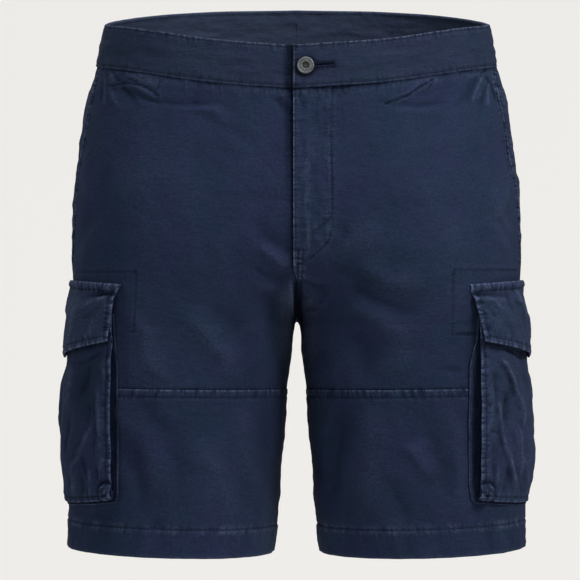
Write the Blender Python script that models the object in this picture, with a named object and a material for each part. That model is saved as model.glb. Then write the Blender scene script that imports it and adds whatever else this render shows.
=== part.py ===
"""Men's cargo shorts, filled out as if worn, with nothing inside.

Metres, +Z up, +X to the wearer's left, -Y to the front. The origin is the centre
of the waist opening, half way up the waistband. Every piece of cloth is a wall
that follows one shared surface: a stack of level sections, each made of four
superellipse quarters (front and back, inner and outer half) whose sizes come from
the tables below. Above the crotch a section stops at the rise seam on x = 0, and
below it closes at the inseam. Pieces butt at their seams with a gap of SEAM, and
what is sewn on top (waistband, lap, pockets, flaps) is that surface moved out.
"""

import math

import bpy
import numpy as np

# ---------------------------------------------------------------- sizes, in mm
SEAM = 0.3  # clear gap between pieces
CLOTH = 1.5  # one layer of panel with its worn-in loft
HEM_DEPTH, HEM_WALL = 25.0, 2.6  # turned-up hem: its height and folded thickness
CROTCH_Z = -248.8
THIGH_Z = -305.0  # level of the seam across the front of each leg
BAND_WALL, BAND_PROUD, BAND_TALL = 2.4, 0.8, 38.0
LAP_X = 3.5  # the wearer's left front passes the centre by this much
LAP_RAISE = 2.1  # how far that lap stands over the right front
FLY_BOTTOM_Z = -190.0
UNDERLAP = 8.0  # right front that runs on below the lap
BUTTON_X, BUTTON_D = 7.1, 15.0
HOLE_FROM, HOLE_TO, HOLE_TALL = 4.6, 28.0, 3.0  # buttonhole
POCKET_TOP_Z, POCKET_BOTTOM_Z = -238.0, -409.0
POCKET_HALF_TOP, POCKET_HALF_LOW = 112.6, 105.7  # round the leg from the side seam
POCKET_WALL, GUSSET_WALL, GUSSET_TUCK = 1.4, 1.2, 4.2
FLAP_HALF, FLAP_TOP_Z, FLAP_WALL = 115.6, -211.0, 2.2
FLAP_EAR, FLAP_EAR_TALL = 6.5, 10.0  # its top corners reach out past its edges
FLAP_POINT_Z, FLAP_CORNER_Z = -281.0, -263.5  # the flap is lowest at its middle

# Level sections. side: half width at the side seam. apex: x of the deepest front
# and back points. inner: half the gap between the legs. front, back: depth of
# those points from mid, which is the y of the side seam. n_out, n_in: roundness
# of the outer and inner quarters (2 is an ellipse, more is squarer). valley: how
# softly the left and right halves meet on x = 0.
SECTION_COLUMNS = ("z", "side", "apex", "inner", "front", "back", "mid", "n_out", "n_in", "valley")
SECTIONS = (
    (60.0, 164.0, 8.0, 0.0, 101.0, 104.0, 0.0, 2.00, 2.0, 4.0),
    (19.0, 172.3, 8.0, 0.0, 105.0, 108.0, 0.0, 2.00, 2.0, 4.0),
    (-13.0, 178.6, 10.0, 0.0, 109.5, 113.0, 0.0, 2.00, 2.0, 5.0),
    (-24.0, 180.4, 12.0, 0.0, 111.0, 115.5, 0.0, 2.02, 2.0, 6.0),
    (-47.0, 186.3, 18.0, 0.0, 114.0, 120.5, 0.5, 2.05, 2.0, 9.0),
    (-78.0, 192.4, 30.0, 0.0, 118.0, 126.5, 1.0, 2.08, 2.0, 15.0),
    (-110.0, 197.0, 45.0, 0.0, 121.5, 131.5, 1.5, 2.10, 2.0, 20.0),
    (-143.0, 200.5, 62.0, 0.0, 124.0, 134.0, 2.0, 2.12, 2.1, 21.0),
    (-175.0, 201.2, 78.0, 0.0, 124.0, 133.5, 2.5, 2.12, 2.3, 17.0),
    (-200.0, 201.4, 89.0, 0.3, 121.5, 131.0, 3.0, 2.12, 2.5, 10.0),
    (-214.0, 201.0, 94.0, 2.4, 119.5, 129.0, 3.2, 2.10, 2.6, 4.0),
    (-230.0, 200.9, 99.0, 3.5, 117.0, 126.0, 3.5, 2.10, 2.7, 0.0),
    (-249.0, 201.4, 102.5, 3.0, 114.5, 121.5, 3.8, 2.08, 2.7, 0.0),
    (-262.0, 202.0, 103.0, 3.7, 112.8, 118.5, 3.8, 2.06, 2.6, 0.0),
    (-283.0, 202.2, 103.8, 5.4, 110.5, 114.0, 3.5, 2.05, 2.5, 0.0),
    (-305.0, 202.5, 105.0, 7.6, 108.5, 110.0, 3.2, 2.05, 2.4, 0.0),
    (-337.0, 203.0, 106.5, 9.8, 105.5, 105.5, 2.8, 2.04, 2.3, 0.0),
    (-370.0, 203.6, 108.5, 13.4, 103.0, 102.0, 2.4, 2.03, 2.2, 0.0),
    (-412.0, 204.4, 111.0, 17.4, 100.0, 98.5, 2.0, 2.02, 2.1, 0.0),
    (-455.0, 206.0, 114.0, 21.6, 98.0, 96.0, 1.5, 2.00, 2.1, 0.0),
    (-475.0, 206.8, 115.0, 23.2, 97.5, 95.5, 1.5, 2.00, 2.1, 0.0),
)

# The rise seam on x = 0, by height over the crotch: y of the front and of the back.
RISE_COLUMNS = ("above_crotch", "front_y", "back_y")
RISE = (
    (0.0, 4.0, 4.0),
    (1.3, -7.0, 15.0),
    (4.8, -19.5, 30.0),
    (10.8, -36.0, 49.0),
    (18.8, -55.0, 69.0),
    (26.8, -72.0, 86.0),
    (34.8, -86.0, 99.0),
    (42.8, -97.0, 108.5),
    (50.8, -104.5, 115.5),
    (60.8, -110.5, 121.5),
    (73.8, -115.0, 126.0),
    (98.8, -119.6, 130.5),
    (138.8, -119.3, 130.8),
    (178.8, -115.9, 126.4),
    (201.8, -113.0, 120.4),
    (235.8, -109.2, 112.6),
    (267.8, -104.8, 107.8),
    (308.8, -100.8, 103.8),
)

# Top edge of the waistband, by angle round the waist from centre front.
TOP_COLUMNS = ("angle", "z")
TOP_EDGE = (
    (0.0, -9.6),
    (16.5, -5.8),
    (29.0, -1.2),
    (41.0, 4.4),
    (58.0, 11.0),
    (74.0, 15.2),
    (90.0, 19.2),
    (106.0, 25.0),
    (122.0, 31.2),
    (140.0, 37.2),
    (160.0, 41.4),
    (180.0, 42.8),
)

# How far the cargo pocket's face and flap stand off the leg, at the side seam and
# at their front and back edges.
FACE_COLUMNS = ("z", "centre", "edge")
FACE_OFF = (
    (-236.0, 2.7, 3.6),
    (-262.0, 4.0, 6.4),
    (-281.0, 4.5, 8.0),
    (-294.0, 5.6, 8.8),
    (-305.0, 7.0, 9.4),
    (-326.0, 8.7, 10.0),
    (-348.0, 9.4, 10.2),
    (-369.0, 8.4, 9.8),
    (-388.0, 5.8, 8.6),
    (-400.0, 4.4, 6.4),
    (-412.0, 3.4, 4.2),
)
FLAP_OFF = (
    (-209.0, 2.6, 2.7),
    (-222.0, 3.2, 3.7),
    (-232.0, 5.3, 6.3),
    (-241.0, 6.5, 8.0),
    (-252.0, 7.5, 9.6),
    (-266.0, 7.9, 10.7),
    (-285.0, 7.6, 11.4),
)

# Largest folds of the panels, as seen from in front or behind: a straight run from
# (x0, z0) to (x1, z1), its half width and its height (below zero is a trough).
FOLD_COLUMNS = ("face", "side", "x0", "z0", "x1", "z1", "half_width", "height")
FOLDS = (
    ("front", "left", 50.0, -214.0, 102.0, -236.0, 12.0, -2.2),
    ("front", "left", 8.0, -212.0, 44.0, -232.0, 10.0, -1.8),
    ("front", "left", 60.0, -236.0, 120.0, -262.0, 16.0, 1.8),
    ("front", "right", 50.0, -74.0, 96.0, -58.0, 12.0, -1.5),
    ("front", "right", 16.0, -205.0, 62.0, -246.0, 14.0, 1.8),
    ("front", "right", 90.0, -414.0, 130.0, -330.0, 14.0, 2.0),
    ("front", "right", 110.0, -430.0, 150.0, -350.0, 11.0, -1.6),
    ("back", "left", 18.0, -206.0, 92.0, -252.0, 15.0, -2.4),
    ("back", "left", 50.0, -330.0, 120.0, -300.0, 15.0, 1.8),
    ("back", "right", 22.0, -210.0, 100.0, -240.0, 14.0, -2.2),
    ("back", "right", 40.0, -300.0, 120.0, -345.0, 16.0, 1.8),
)


# ------------------------------------------------------------- table reading
def columns(rows, names):
    return {name: np.array([row[i] for row in rows], float) for i, name in enumerate(names)}


def smooth_through(xs, ys):
    """A curve through the table's rows whose slope never overshoots them."""
    order = np.argsort(xs)
    xs, ys = np.asarray(xs, float)[order], np.asarray(ys, float)[order]
    step = np.diff(xs)
    slope = np.diff(ys) / step
    tangent = np.zeros_like(ys)
    tangent[0], tangent[-1] = slope[0], slope[-1]
    for i in range(1, len(xs) - 1):
        if slope[i - 1] * slope[i] > 0:
            a, b = 2 * step[i] + step[i - 1], step[i] + 2 * step[i - 1]
            tangent[i] = (a + b) / (a / slope[i - 1] + b / slope[i])

    def at(x):
        x = np.clip(x, xs[0], xs[-1])
        i = int(np.clip(np.searchsorted(xs, x) - 1, 0, len(step) - 1))
        t = (x - xs[i]) / step[i]
        return (
            (1 + 2 * t) * (1 - t) ** 2 * ys[i]
            + t * (1 - t) ** 2 * step[i] * tangent[i]
            + t * t * (3 - 2 * t) * ys[i + 1]
            + t * t * (t - 1) * step[i] * tangent[i + 1]
        )

    return at


def smoothstep(x, low, high):
    t = min(max((x - low) / (high - low), 0.0), 1.0)
    return t * t * (3 - 2 * t)


_sections = columns(SECTIONS, SECTION_COLUMNS)
SIZE = {name: smooth_through(_sections["z"], _sections[name]) for name in SECTION_COLUMNS[1:]}
_rise = columns(RISE, RISE_COLUMNS)
# Near the crotch the seam is level, so it is read by the root of the height.
_root = np.sqrt(_rise["above_crotch"])
RISE_Y = {
    "front": smooth_through(_root, _rise["front_y"]),
    "back": smooth_through(_root, _rise["back_y"]),
}
_top = columns(TOP_EDGE, TOP_COLUMNS)
TOP_Z = smooth_through(_top["angle"], _top["z"])


def off_table(rows):
    read = columns(rows, FACE_COLUMNS)
    centre, edge = smooth_through(read["z"], read["centre"]), smooth_through(read["z"], read["edge"])
    return lambda q, z, half: centre(z) + (edge(z) - centre(z)) * min(abs(q) / half, 1.0) ** 3


face_off, flap_off = off_table(FACE_OFF), off_table(FLAP_OFF)


# --------------------------------------------------- the garment's own surface
_cache = {}


def section(face, z):
    """Points of one quarter of a level section, from its inner edge to the side
    seam, with the arc length at each."""
    key = (face, round(z, 4))
    if key in _cache:
        return _cache[key]
    side, apex, inner, mid = (SIZE[k](z) for k in ("side", "apex", "inner", "mid"))
    n_out, n_in, deep = SIZE["n_out"](z), SIZE["n_in"](z), SIZE[face](z)
    sign = -1.0 if face == "front" else 1.0
    if z >= CROTCH_Z:
        # How far round the inner quarter the rise seam cuts it.
        reach = sign * (RISE_Y[face](math.sqrt(z - CROTCH_Z)) - mid) / deep
        start = math.asin(min(max(reach, 0.0), 0.99985) ** (n_in / 2))
        pull = 1.0
    else:
        start, pull = 0.0, math.exp((z - CROTCH_Z) / 1.4)
    wide = (apex - inner) / math.cos(start) ** (2 / n_in)
    turn = start + (math.pi / 2 - start) * np.linspace(0, 1, 70) ** 1.3
    x_in = apex - wide * np.cos(turn) ** (2 / n_in)
    y_in = mid + sign * deep * np.sin(turn) ** (2 / n_in)
    turn = math.pi / 2 * (1 - np.linspace(0, 1, 70))
    x_out = apex + (side - apex) * np.cos(turn) ** (2 / n_out)
    y_out = mid + sign * deep * np.sin(turn) ** (2 / n_out)
    y_out[-1] = mid
    x, y = np.append(x_in[:-1], x_out), np.append(y_in[:-1], y_out)
    run = np.append(0, np.cumsum(np.hypot(np.diff(x), np.diff(y))))
    x = x - inner * pull * np.exp(-run / 2.5)
    soft = SIZE["valley"](z)
    if soft > 0:
        x_from = np.linspace(0, 1, 24) ** 2 * soft + soft
        y_from = np.interp(x_from, x, y)
        beyond = x > x_from[-1]
        x, y = np.append(x_from, x[beyond]), np.append(y_from, y[beyond])
        x = np.sqrt(np.maximum(x * x - soft * soft, 0.0))
    run = np.append(0, np.cumsum(np.hypot(np.diff(x), np.diff(y))))
    _cache[key] = (x, y, run)
    return _cache[key]


def length(face, z):
    return section(face, z)[2][-1]


def place(face, a, z):
    """The point at arc length a from the inner edge. Past that edge it carries on
    over the rise seam, or below the crotch round the inseam."""
    if a < 0:
        if z >= CROTCH_Z:
            x, y, z = place(face, -a, z)
            return np.array((-x, y, z))
        return place("back" if face == "front" else "front", -a, z)
    x, y, run = section(face, z)
    return np.array((np.interp(a, run, x), np.interp(a, run, y), z))


def normal(face, a, z):
    """Outward, from points a little to each side."""
    full = length(face, z)
    a_low, a_high = a - 0.6, min(a + 0.6, full)
    along = place(face, a_high, z) - place(face, a_low, z)
    share = a / full
    z_low = z - 0.4
    if z >= CROTCH_Z > z_low:
        z_low = CROTCH_Z
    z_high = max(z + 0.4, z_low + 0.2)
    if z < CROTCH_Z <= z_high:
        z_high = CROTCH_Z - 1e-4
    up = place(face, share * length(face, z_high), z_high) - place(face, share * length(face, z_low), z_low)
    out = np.cross(along, up) if face == "front" else np.cross(up, along)
    return out / np.linalg.norm(out)


def fold(face, side, x, z):
    """Height of the panels' large folds at a point."""
    total = 0.0
    for row in FOLDS:
        f = dict(zip(FOLD_COLUMNS, row))
        if (f["face"], f["side"]) != (face, side):
            continue
        start, end = np.array((f["x0"], f["z0"])), np.array((f["x1"], f["z1"]))
        run = end - start
        share = np.dot(np.array((x, z)) - start, run) / np.dot(run, run)
        off = np.linalg.norm(np.array((x, z)) - start - share * run)
        ends = smoothstep(share, -0.25, 0.3) * (1 - smoothstep(share, 0.7, 1.25))
        total += f["height"] * ends * math.exp(-((off / f["half_width"]) ** 2))
    return total


def skin(face, side, a, z, off=0.0, folds=True):
    """A point of the garment, off outwards from its surface."""
    point = place(face, a, z)
    if folds:
        off = off + fold(face, side, abs(point[0]), z)
    return point + normal(face, a, z) * off


def by_side(side, q, z, off=0.0):
    """The same, by arc length q from the side seam: above zero to the front."""
    face = "front" if q >= 0 else "back"
    return skin(face, side, length(face, z) - abs(q), z, off, folds=False)


# -------------------------------------------------------------- mesh building
def material(name, colour, roughness, metallic=0.0):
    made = bpy.data.materials.new(name)
    made.use_nodes = True
    shader = made.node_tree.nodes["Principled BSDF"]
    shader.inputs["Base Color"].default_value = (*colour, 1.0)
    shader.inputs["Roughness"].default_value = roughness
    shader.inputs["Metallic"].default_value = metallic
    return made


def solid(name, points, faces, side, look, holder):
    """A closed mesh object in metres. The right side is the left one mirrored."""
    points = np.array(points) * (0.001, 0.001, 0.001)
    if side == "right":
        points[:, 0] *= -1
    volume = 0.0
    for face in faces:
        for i in range(1, len(face) - 1):
            a, b, c = points[face[0]], points[face[i]], points[face[i + 1]]
            volume += np.dot(a, np.cross(b, c))
    if volume < 0:
        faces = [face[::-1] for face in faces]
    mesh = bpy.data.meshes.new(name)
    mesh.from_pydata(points.tolist(), [], faces)
    mesh.materials.append(look)
    mesh.shade_smooth()
    mesh.set_sharp_from_angle(angle=math.radians(40))
    made = bpy.data.objects.new(name, mesh)
    bpy.context.scene.collection.objects.link(made)
    made.parent = holder
    return made


def wall(name, outer, inner, side, look, holder, missing=()):
    """A wall between two grids of points, with the cells in missing left open."""
    rows, cols = len(outer), len(outer[0])
    count = rows * cols
    points = [p for row in outer for p in row] + [p for row in inner for p in row]

    def at(i, j, layer=0):
        return layer * count + i * cols + j

    there = {(i, j) for i in range(rows - 1) for j in range(cols - 1)} - set(missing)
    faces = []
    for i, j in sorted(there):
        ring = ((i, j), (i, j + 1), (i + 1, j + 1), (i + 1, j))
        # Both layers are split along the same, shorter diagonal.
        a, b, c, d = (points[at(*corner)] for corner in ring)
        turned = ring if np.linalg.norm(a - c) <= np.linalg.norm(b - d) else ring[1:] + ring[:1]
        for half in ((turned[0], turned[1], turned[2]), (turned[0], turned[2], turned[3])):
            faces.append([at(*corner) for corner in half])
            faces.append([at(*corner, 1) for corner in reversed(half)])
        beside = ((i - 1, j), (i, j + 1), (i + 1, j), (i, j - 1))
        for k, neighbour in enumerate(beside):
            if neighbour not in there:
                p, q = ring[k], ring[(k + 1) % 4]
                faces.append([at(*q), at(*p), at(*p, 1), at(*q, 1)])
    return solid(name, points, faces, side, look, holder)


# ---------------------------------------------------------------- the pieces
def band_angle(face, share):
    """Angle round the waist of a share of the way from the centre to the side."""
    return 90.0 * share if face == "front" else 180.0 - 90.0 * share


def top_z(face, share):
    x, y, _ = place(face, share * length(face, 0.0), 0.0)
    angle = math.degrees(math.atan2(x / SIZE["side"](0.0), -y / SIZE[face](0.0)))
    return TOP_Z(angle)


def band_bottom_z(face, share):
    return top_z(face, share) - BAND_TALL


def thigh_z(share):
    return THIGH_Z - 4.0 * (1 - share) ** 2


def thigh_lift(z):
    """The lower front is pressed over its seam, so its top edge stands out."""
    return 0.5 * math.exp(-((z - THIGH_Z) ** 2) / 400.0)


def hem_z(x):
    return -454.8 + 5.2 * (x - 22.0) / 184.0


def column_z(face, share, level, end_level, end_z):
    """Height of a panel's row at one column, from its level. The top row follows
    the waistband and the last one the piece's lower edge."""
    top = band_bottom_z(face, share) - SEAM
    lift = max((level + 190.0) / (TOP_LEVEL + 190.0), 0.0) ** 1.5
    fall = smoothstep(-level, 250.0, -end_level)
    return level + (top - TOP_LEVEL) * lift + (end_z - end_level) * fall


TOP_LEVEL = -40.0
# Rows of the upper panels: at the rise seam they crowd together towards the crotch,
# where it runs level, and at the side seam they are evenly spread.
UPPER_COLUMNS = ("at_rise", "at_side")
UPPER_ROWS = (
    (TOP_LEVEL, TOP_LEVEL),
    (-68.0, -58.0),
    (-98.0, -76.0),
    (-128.0, -94.0),
    (-154.0, -111.0),
    (-176.0, -128.0),
    (-190.5, -144.0),
    (-201.0, -160.0),
    (-211.5, -176.0),
    (-222.0, -191.0),
    (-231.0, -206.0),
    (-239.0, -220.0),
    (-245.5, -234.0),
    (CROTCH_Z, -247.0),
    (-251.0, -258.0),
    (-257.0, -268.0),
    (-268.0, -278.0),
    (-284.0, -290.0),
)
LOWER_LEVELS = (THIGH_Z, -328.0, -354.0, -380.0, -406.0)
# Columns of a panel: its edge, two beside it by arc length, then shares of the rest.
BESIDE_EDGE = (2.0, 13.0)
SHARES = (0.11, 0.22, 0.33, 0.44, 0.55, 0.66, 0.77, 0.885, 1.0)
ABOUT = (0.0, 0.01, 0.05, *(0.05 + 0.95 * share for share in SHARES))


def column_arcs(face, first, z):
    """Arc length of each column from the inner edge. Away from that edge they follow
    the panel's mean length, so they don't swing where the rise seam runs level."""
    start = BESIDE_EDGE[-1]
    full = length(face, z)
    mean = sum(length(face, z + step) for step in (-30, -20, -10, 0, 10, 20, 30)) / 7
    arcs = [first, max(first + 2.0, BESIDE_EDGE[0]), start]
    for share in SHARES:
        swing = (mean - full) * smoothstep(share, 0.0, 0.3)
        arcs.append(full - SEAM / 2 - (1 - share) * (full + swing - SEAM / 2 - start))
    return arcs


def front_edge(side, z):
    """Arc length at which a front panel starts: the lap's edge on the wearer's
    left, and on the right what runs on under it, or meets it below the fly."""
    to_centre = smoothstep(z, -213.0, -199.0)
    if side == "left":
        return SEAM / 2 * (1 - to_centre) - LAP_X * to_centre
    meet = SEAM / 2 + LAP_X * to_centre
    under = smoothstep(z, FLY_BOTTOM_Z, FLY_BOTTOM_Z + 7.0)
    return meet * (1 - under) - UNDERLAP * under


def lap_raise(side, a, z):
    """The left front's lift over the right one beside the centre."""
    if side == "right":
        return 0.0
    tall = 0.5 + (LAP_RAISE - 0.5) * smoothstep(z, -204.0, -195.0)
    tall *= smoothstep(z, -216.0, -204.0)
    return tall * (1 - smoothstep(a, 15.0, 38.0))


def panel_points(face, side, rows, end_level, end_of, wall_of, start_of):
    outer, inner = [], []
    for at_rise, at_side in rows:
        row_out, row_in = [], []
        for i, about in enumerate(ABOUT):
            level = at_rise + (at_side - at_rise) * smoothstep(about, 0.02, 0.5)
            z = column_z(face, about, level, end_level, end_of(about))
            a = column_arcs(face, start_of(z), z)[i]
            if level > -120.0:  # near the top, by the column's true place
                share = max(a, 0.0) / length(face, z)
                z = column_z(face, share, level, end_level, end_of(share))
                a = column_arcs(face, start_of(z), z)[i]
            off = lap_raise(side, a, z) if face == "front" else 0.0
            out = normal(face, a, z)
            point = skin(face, side, a, z, off)
            row_out.append(point)
            row_in.append(point - out * wall_of(level))
        outer.append(row_out)
        inner.append(row_in)
    return outer, inner


def hem_wall(level):
    return HEM_WALL if level <= HEM_LEVEL else CLOTH


HEM_END = -455.0
HEM_LEVEL = HEM_END + HEM_DEPTH
HEM_LEVELS = (HEM_LEVEL + 1.5, HEM_LEVEL, HEM_END)


def make_panels(side, look, holder):
    def inseam_start(z):
        return SEAM / 2

    def end_thigh(share):
        return thigh_z(share) + SEAM / 2

    def end_hem(share):
        return hem_z(place("front", share * length("front", -453.0), -453.0)[0])

    def end_hem_back(share):
        return hem_z(place("back", share * length("back", -453.0), -453.0)[0])

    outer, inner = panel_points(
        "front", side, (*UPPER_ROWS, (THIGH_Z, THIGH_Z)), THIGH_Z, end_thigh,
        lambda level: CLOTH, lambda z: front_edge(side, z),
    )  # fmt: skip
    wall(f"front_upper_{side}", outer, inner, side, look, holder)

    levels = (*LOWER_LEVELS, *HEM_LEVELS)
    outer, inner = [], []
    for level in levels:
        row_out, row_in = [], []
        for i, about in enumerate(ABOUT):
            first = thigh_z(about) - SEAM / 2
            t = (level - THIGH_Z) / (HEM_END - THIGH_Z)
            z = first + t * (end_hem(about) - first)
            a = column_arcs("front", SEAM / 2, z)[i]
            out = normal("front", a, z)
            point = skin("front", side, a, z, thigh_lift(z))
            row_out.append(point)
            row_in.append(point - out * hem_wall(level))
        outer.append(row_out)
        inner.append(row_in)
    wall(f"front_lower_{side}", outer, inner, side, look, holder)

    rows = (*UPPER_ROWS, *((level, level) for level in levels))
    outer, inner = panel_points("back", side, rows, HEM_END, end_hem_back, hem_wall, inseam_start)
    wall(f"back_{side}", outer, inner, side, look, holder)


def make_band(side, look, holder):
    """Half of the waistband, from its front end to the centre back seam. The left
    end laps over the right one and is cut by the buttonhole."""
    left = side == "left"
    full = length("front", 0.0)
    if left:
        starts = [-LAP_X, 0.5, HOLE_FROM, 11.0, 19.0, HOLE_TO, 36.0, 45.0, 56.0]
    else:
        starts = [-30.0, -16.0, 2.0, 13.0, 28.0, 43.0, 56.0]
    shares = [a / full for a in starts]
    shares += [a / full for a in column_arcs("front", 0.0, 0.0) if a > 60.0]
    stations = [("front", share) for share in shares]
    full = length("back", 0.0)
    stations += [("back", a / full) for a in column_arcs("back", SEAM / 2, 0.0)[-2::-1]]
    middle = BAND_TALL / 2
    heights = (0.0, middle - HOLE_TALL / 2, middle + HOLE_TALL / 2, BAND_TALL)
    outer, inner = [], []
    for height in heights:
        row_out, row_in = [], []
        for face, share in stations:
            z = band_bottom_z(face, abs(share)) + height
            a = share * length(face, z)
            off = BAND_PROUD
            if left and face == "front":
                over = BAND_WALL + SEAM + 0.2
                off += over * (1 - smoothstep(a, 36.0, 76.0))
            row_out.append(skin(face, side, a, z, off, folds=False))
            row_in.append(skin(face, side, a, z, off - BAND_WALL, folds=False))
        outer.append(row_out)
        inner.append(row_in)
    hole = [(1, j) for j in range(2, 5)] if left else ()
    wall(f"waistband_{side}", outer, inner, side, look, holder, hole)


def pocket_half(z):
    """Half width of the pocket, round the leg from the side seam."""
    t = (z - POCKET_BOTTOM_Z) / (POCKET_TOP_Z - POCKET_BOTTOM_Z)
    return POCKET_HALF_LOW + (POCKET_HALF_TOP - POCKET_HALF_LOW) * t


def pocket_bottom(step):
    return POCKET_BOTTOM_Z + 7.0 * step**2


def flap_half(z):
    return FLAP_HALF + FLAP_EAR * (1 - smoothstep(FLAP_TOP_Z - z, 0.0, FLAP_EAR_TALL))


def flap_edge(step):
    return FLAP_POINT_Z + (FLAP_CORNER_Z - FLAP_POINT_Z) * abs(step)


POCKET_STEPS = np.linspace(-1.0, 1.0, 15)


def make_pocket(side, look, holder):
    """Bellows pocket over the side seam: face, pleated gusset and pointed flap."""
    outer, inner = [], []
    for t in (0.0, 0.14, 0.26, 0.36, 0.5, 0.64, 0.78, 0.9, 1.0):
        row_out, row_in = [], []
        for step in POCKET_STEPS:
            z = POCKET_TOP_Z + t * (pocket_bottom(step) - POCKET_TOP_Z)
            q = pocket_half(z) * step
            off = face_off(q, z, pocket_half(z))
            row_out.append(by_side(side, q, z, off))
            row_in.append(by_side(side, q, z, off - POCKET_WALL))
        outer.append(row_out)
        inner.append(row_in)
    wall(f"cargo_face_{side}", outer, inner, side, look, holder)

    outer, inner = [], []
    for t in (0.0, 0.1, 0.22, 0.42, 0.7, 1.0):
        row_out, row_in = [], []
        for step in POCKET_STEPS:
            high = FLAP_TOP_Z - 4.0 * step * step
            z = high + t * (flap_edge(step) - high)
            q = flap_half(z + 4.0 * step * step) * step
            off = flap_off(q, z, FLAP_HALF)
            row_out.append(by_side(side, q, z, off))
            row_in.append(by_side(side, q, z, off - FLAP_WALL))
        outer.append(row_out)
        inner.append(row_in)
    wall(f"cargo_flap_{side}", outer, inner, side, look, holder)

    # The gusset runs down the front edge, along the bottom and up the back edge.
    path = []
    corner = 9.0
    for i in range(8):
        z = POCKET_TOP_Z - 4.0 - 149.0 * i / 7
        path.append((pocket_half(z), z, 1.0, 0.0))
    low = pocket_bottom(1.0) + 0.5
    wide = pocket_half(low + corner)
    for i in range(1, 4):
        turn = math.pi / 2 * i / 4
        path.append((
            wide - corner * (1 - math.cos(turn)),
            low + corner * (1 - math.sin(turn)),
            math.cos(turn),
            -math.sin(turn),
        ))  # fmt: skip
    for step in POCKET_STEPS[::-1]:
        q = (wide - corner) * step
        path.append((q, pocket_bottom(q / wide) + 0.5, 0.0, -1.0))
    for q, z, along, down_part in reversed(path[:11]):
        path.append((-q, z, -along, down_part))
    outer, inner = [], []
    for share, tuck in ((0.0, 0.0), (0.5, 1.0), (1.0, 0.45)):
        row_out, row_in = [], []
        for q, z, out_q, out_z in path:
            high = face_off(q, z, pocket_half(z)) - POCKET_WALL - 2.8 * SEAM
            low = SEAM + thigh_lift(z)
            off = low + share * (high - low)
            depth = tuck * GUSSET_TUCK * min(high / 7.0, 1.0)
            for row, inset in ((row_out, depth), (row_in, depth + GUSSET_WALL)):
                row.append(by_side(side, q - out_q * inset, z - out_z * inset, off))
        outer.append(row_out)
        inner.append(row_in)
    wall(f"cargo_gusset_{side}", outer, inner, side, look, holder)


def make_button(look, holder):
    """A turned metal button with a raised rim, a sunk centre and a short neck that
    passes the buttonhole to the right end of the waistband."""
    radius = BUTTON_D / 2
    a = BUTTON_X
    z = band_bottom_z("front", a / length("front", 0.0)) + BAND_TALL / 2
    foot = skin("front", "left", a, z, BAND_PROUD + SEAM, folds=False)
    out = normal("front", a, z)
    cap = BAND_WALL + 0.2 + SEAM  # the cap starts this far over the neck's foot
    profile = (
        (0.0, 0.0), (1.1, 0.0), (1.1, cap + 0.2), (radius - 1.6, cap + 0.2),
        (radius - 0.4, cap + 0.7), (radius, cap + 1.5), (radius - 0.5, cap + 2.4),
        (radius - 1.5, cap + 2.7), (radius - 2.6, cap + 2.3), (radius - 3.0, cap + 1.8),
        (2.2, cap + 1.7), (1.7, cap + 1.1), (0.0, cap + 1.0),
    )  # fmt: skip
    across = np.cross(out, (0.0, 0.0, 1.0))
    across /= np.linalg.norm(across)
    up = np.cross(across, out)
    sides = 18
    points, rings = [], []
    for r, h in profile:
        if r == 0.0:
            rings.append([len(points)])
            points.append(foot + out * h)
            continue
        rings.append(list(range(len(points), len(points) + sides)))
        for i in range(sides):
            turn = 2 * math.pi * i / sides
            points.append(foot + out * h + r * (across * math.cos(turn) + up * math.sin(turn)))
    faces = []
    for low, high in zip(rings, rings[1:]):
        for i in range(sides):
            j = (i + 1) % sides
            if len(low) == 1:
                faces.append([low[0], high[i], high[j]])
            elif len(high) == 1:
                faces.append([low[i], high[0], low[j]])
            else:
                faces.append([low[i], high[i], high[j], low[j]])
    solid("button", points, faces, "left", look, holder)


def main():
    for thing in list(bpy.data.objects):
        bpy.data.objects.remove(thing, do_unlink=True)
    bpy.context.scene.unit_settings.scale_length = 1.0
    holder = bpy.data.objects.new("shorts_origin", None)
    bpy.context.scene.collection.objects.link(holder)
    navy = material("navy_cotton", (0.020, 0.030, 0.062), 0.86)
    navy_band = material("navy_cotton_band", (0.024, 0.034, 0.068), 0.86)
    navy_pocket = material("navy_cotton_pocket", (0.023, 0.033, 0.066), 0.86)
    gunmetal = material("gunmetal", (0.20, 0.20, 0.20), 0.38, 1.0)
    for side in ("left", "right"):
        make_panels(side, navy, holder)
        make_band(side, navy_band, holder)
        make_pocket(side, navy_pocket, holder)
    make_button(gunmetal, holder)


main()
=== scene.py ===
"""Cargo shorts: the looks.

Every cloth piece is a thin closed shell on the same surface as its solid, with the
creases, puckers, grooves and seam steps that worn-in cotton shows, and its stitches
as small raised capsules. Sizes are in mm in the tables and metres in Blender.
"""

import math

import bpy
import numpy as np
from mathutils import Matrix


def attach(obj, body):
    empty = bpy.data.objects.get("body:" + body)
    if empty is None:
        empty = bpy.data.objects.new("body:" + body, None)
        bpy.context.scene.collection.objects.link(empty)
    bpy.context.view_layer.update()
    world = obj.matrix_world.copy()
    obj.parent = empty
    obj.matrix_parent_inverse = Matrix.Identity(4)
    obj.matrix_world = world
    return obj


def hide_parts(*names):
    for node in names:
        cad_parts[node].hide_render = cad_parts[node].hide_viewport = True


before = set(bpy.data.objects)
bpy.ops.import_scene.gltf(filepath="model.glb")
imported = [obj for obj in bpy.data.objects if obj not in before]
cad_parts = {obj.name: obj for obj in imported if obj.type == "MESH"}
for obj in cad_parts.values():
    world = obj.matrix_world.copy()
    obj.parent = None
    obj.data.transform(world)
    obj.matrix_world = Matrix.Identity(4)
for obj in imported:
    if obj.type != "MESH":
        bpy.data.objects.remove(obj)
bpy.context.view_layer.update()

# ------------------------------------------------------------------ sizes, mm
SEAM = 0.3
CROTCH_Z, THIGH_Z = -248.8, -305.0
HEM_DEPTH = 25.0
BAND_PROUD, BAND_TALL, BAND_WALL = 0.8, 38.0, 2.2
LAP_X, LAP_RAISE = 3.5, 2.1
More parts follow.
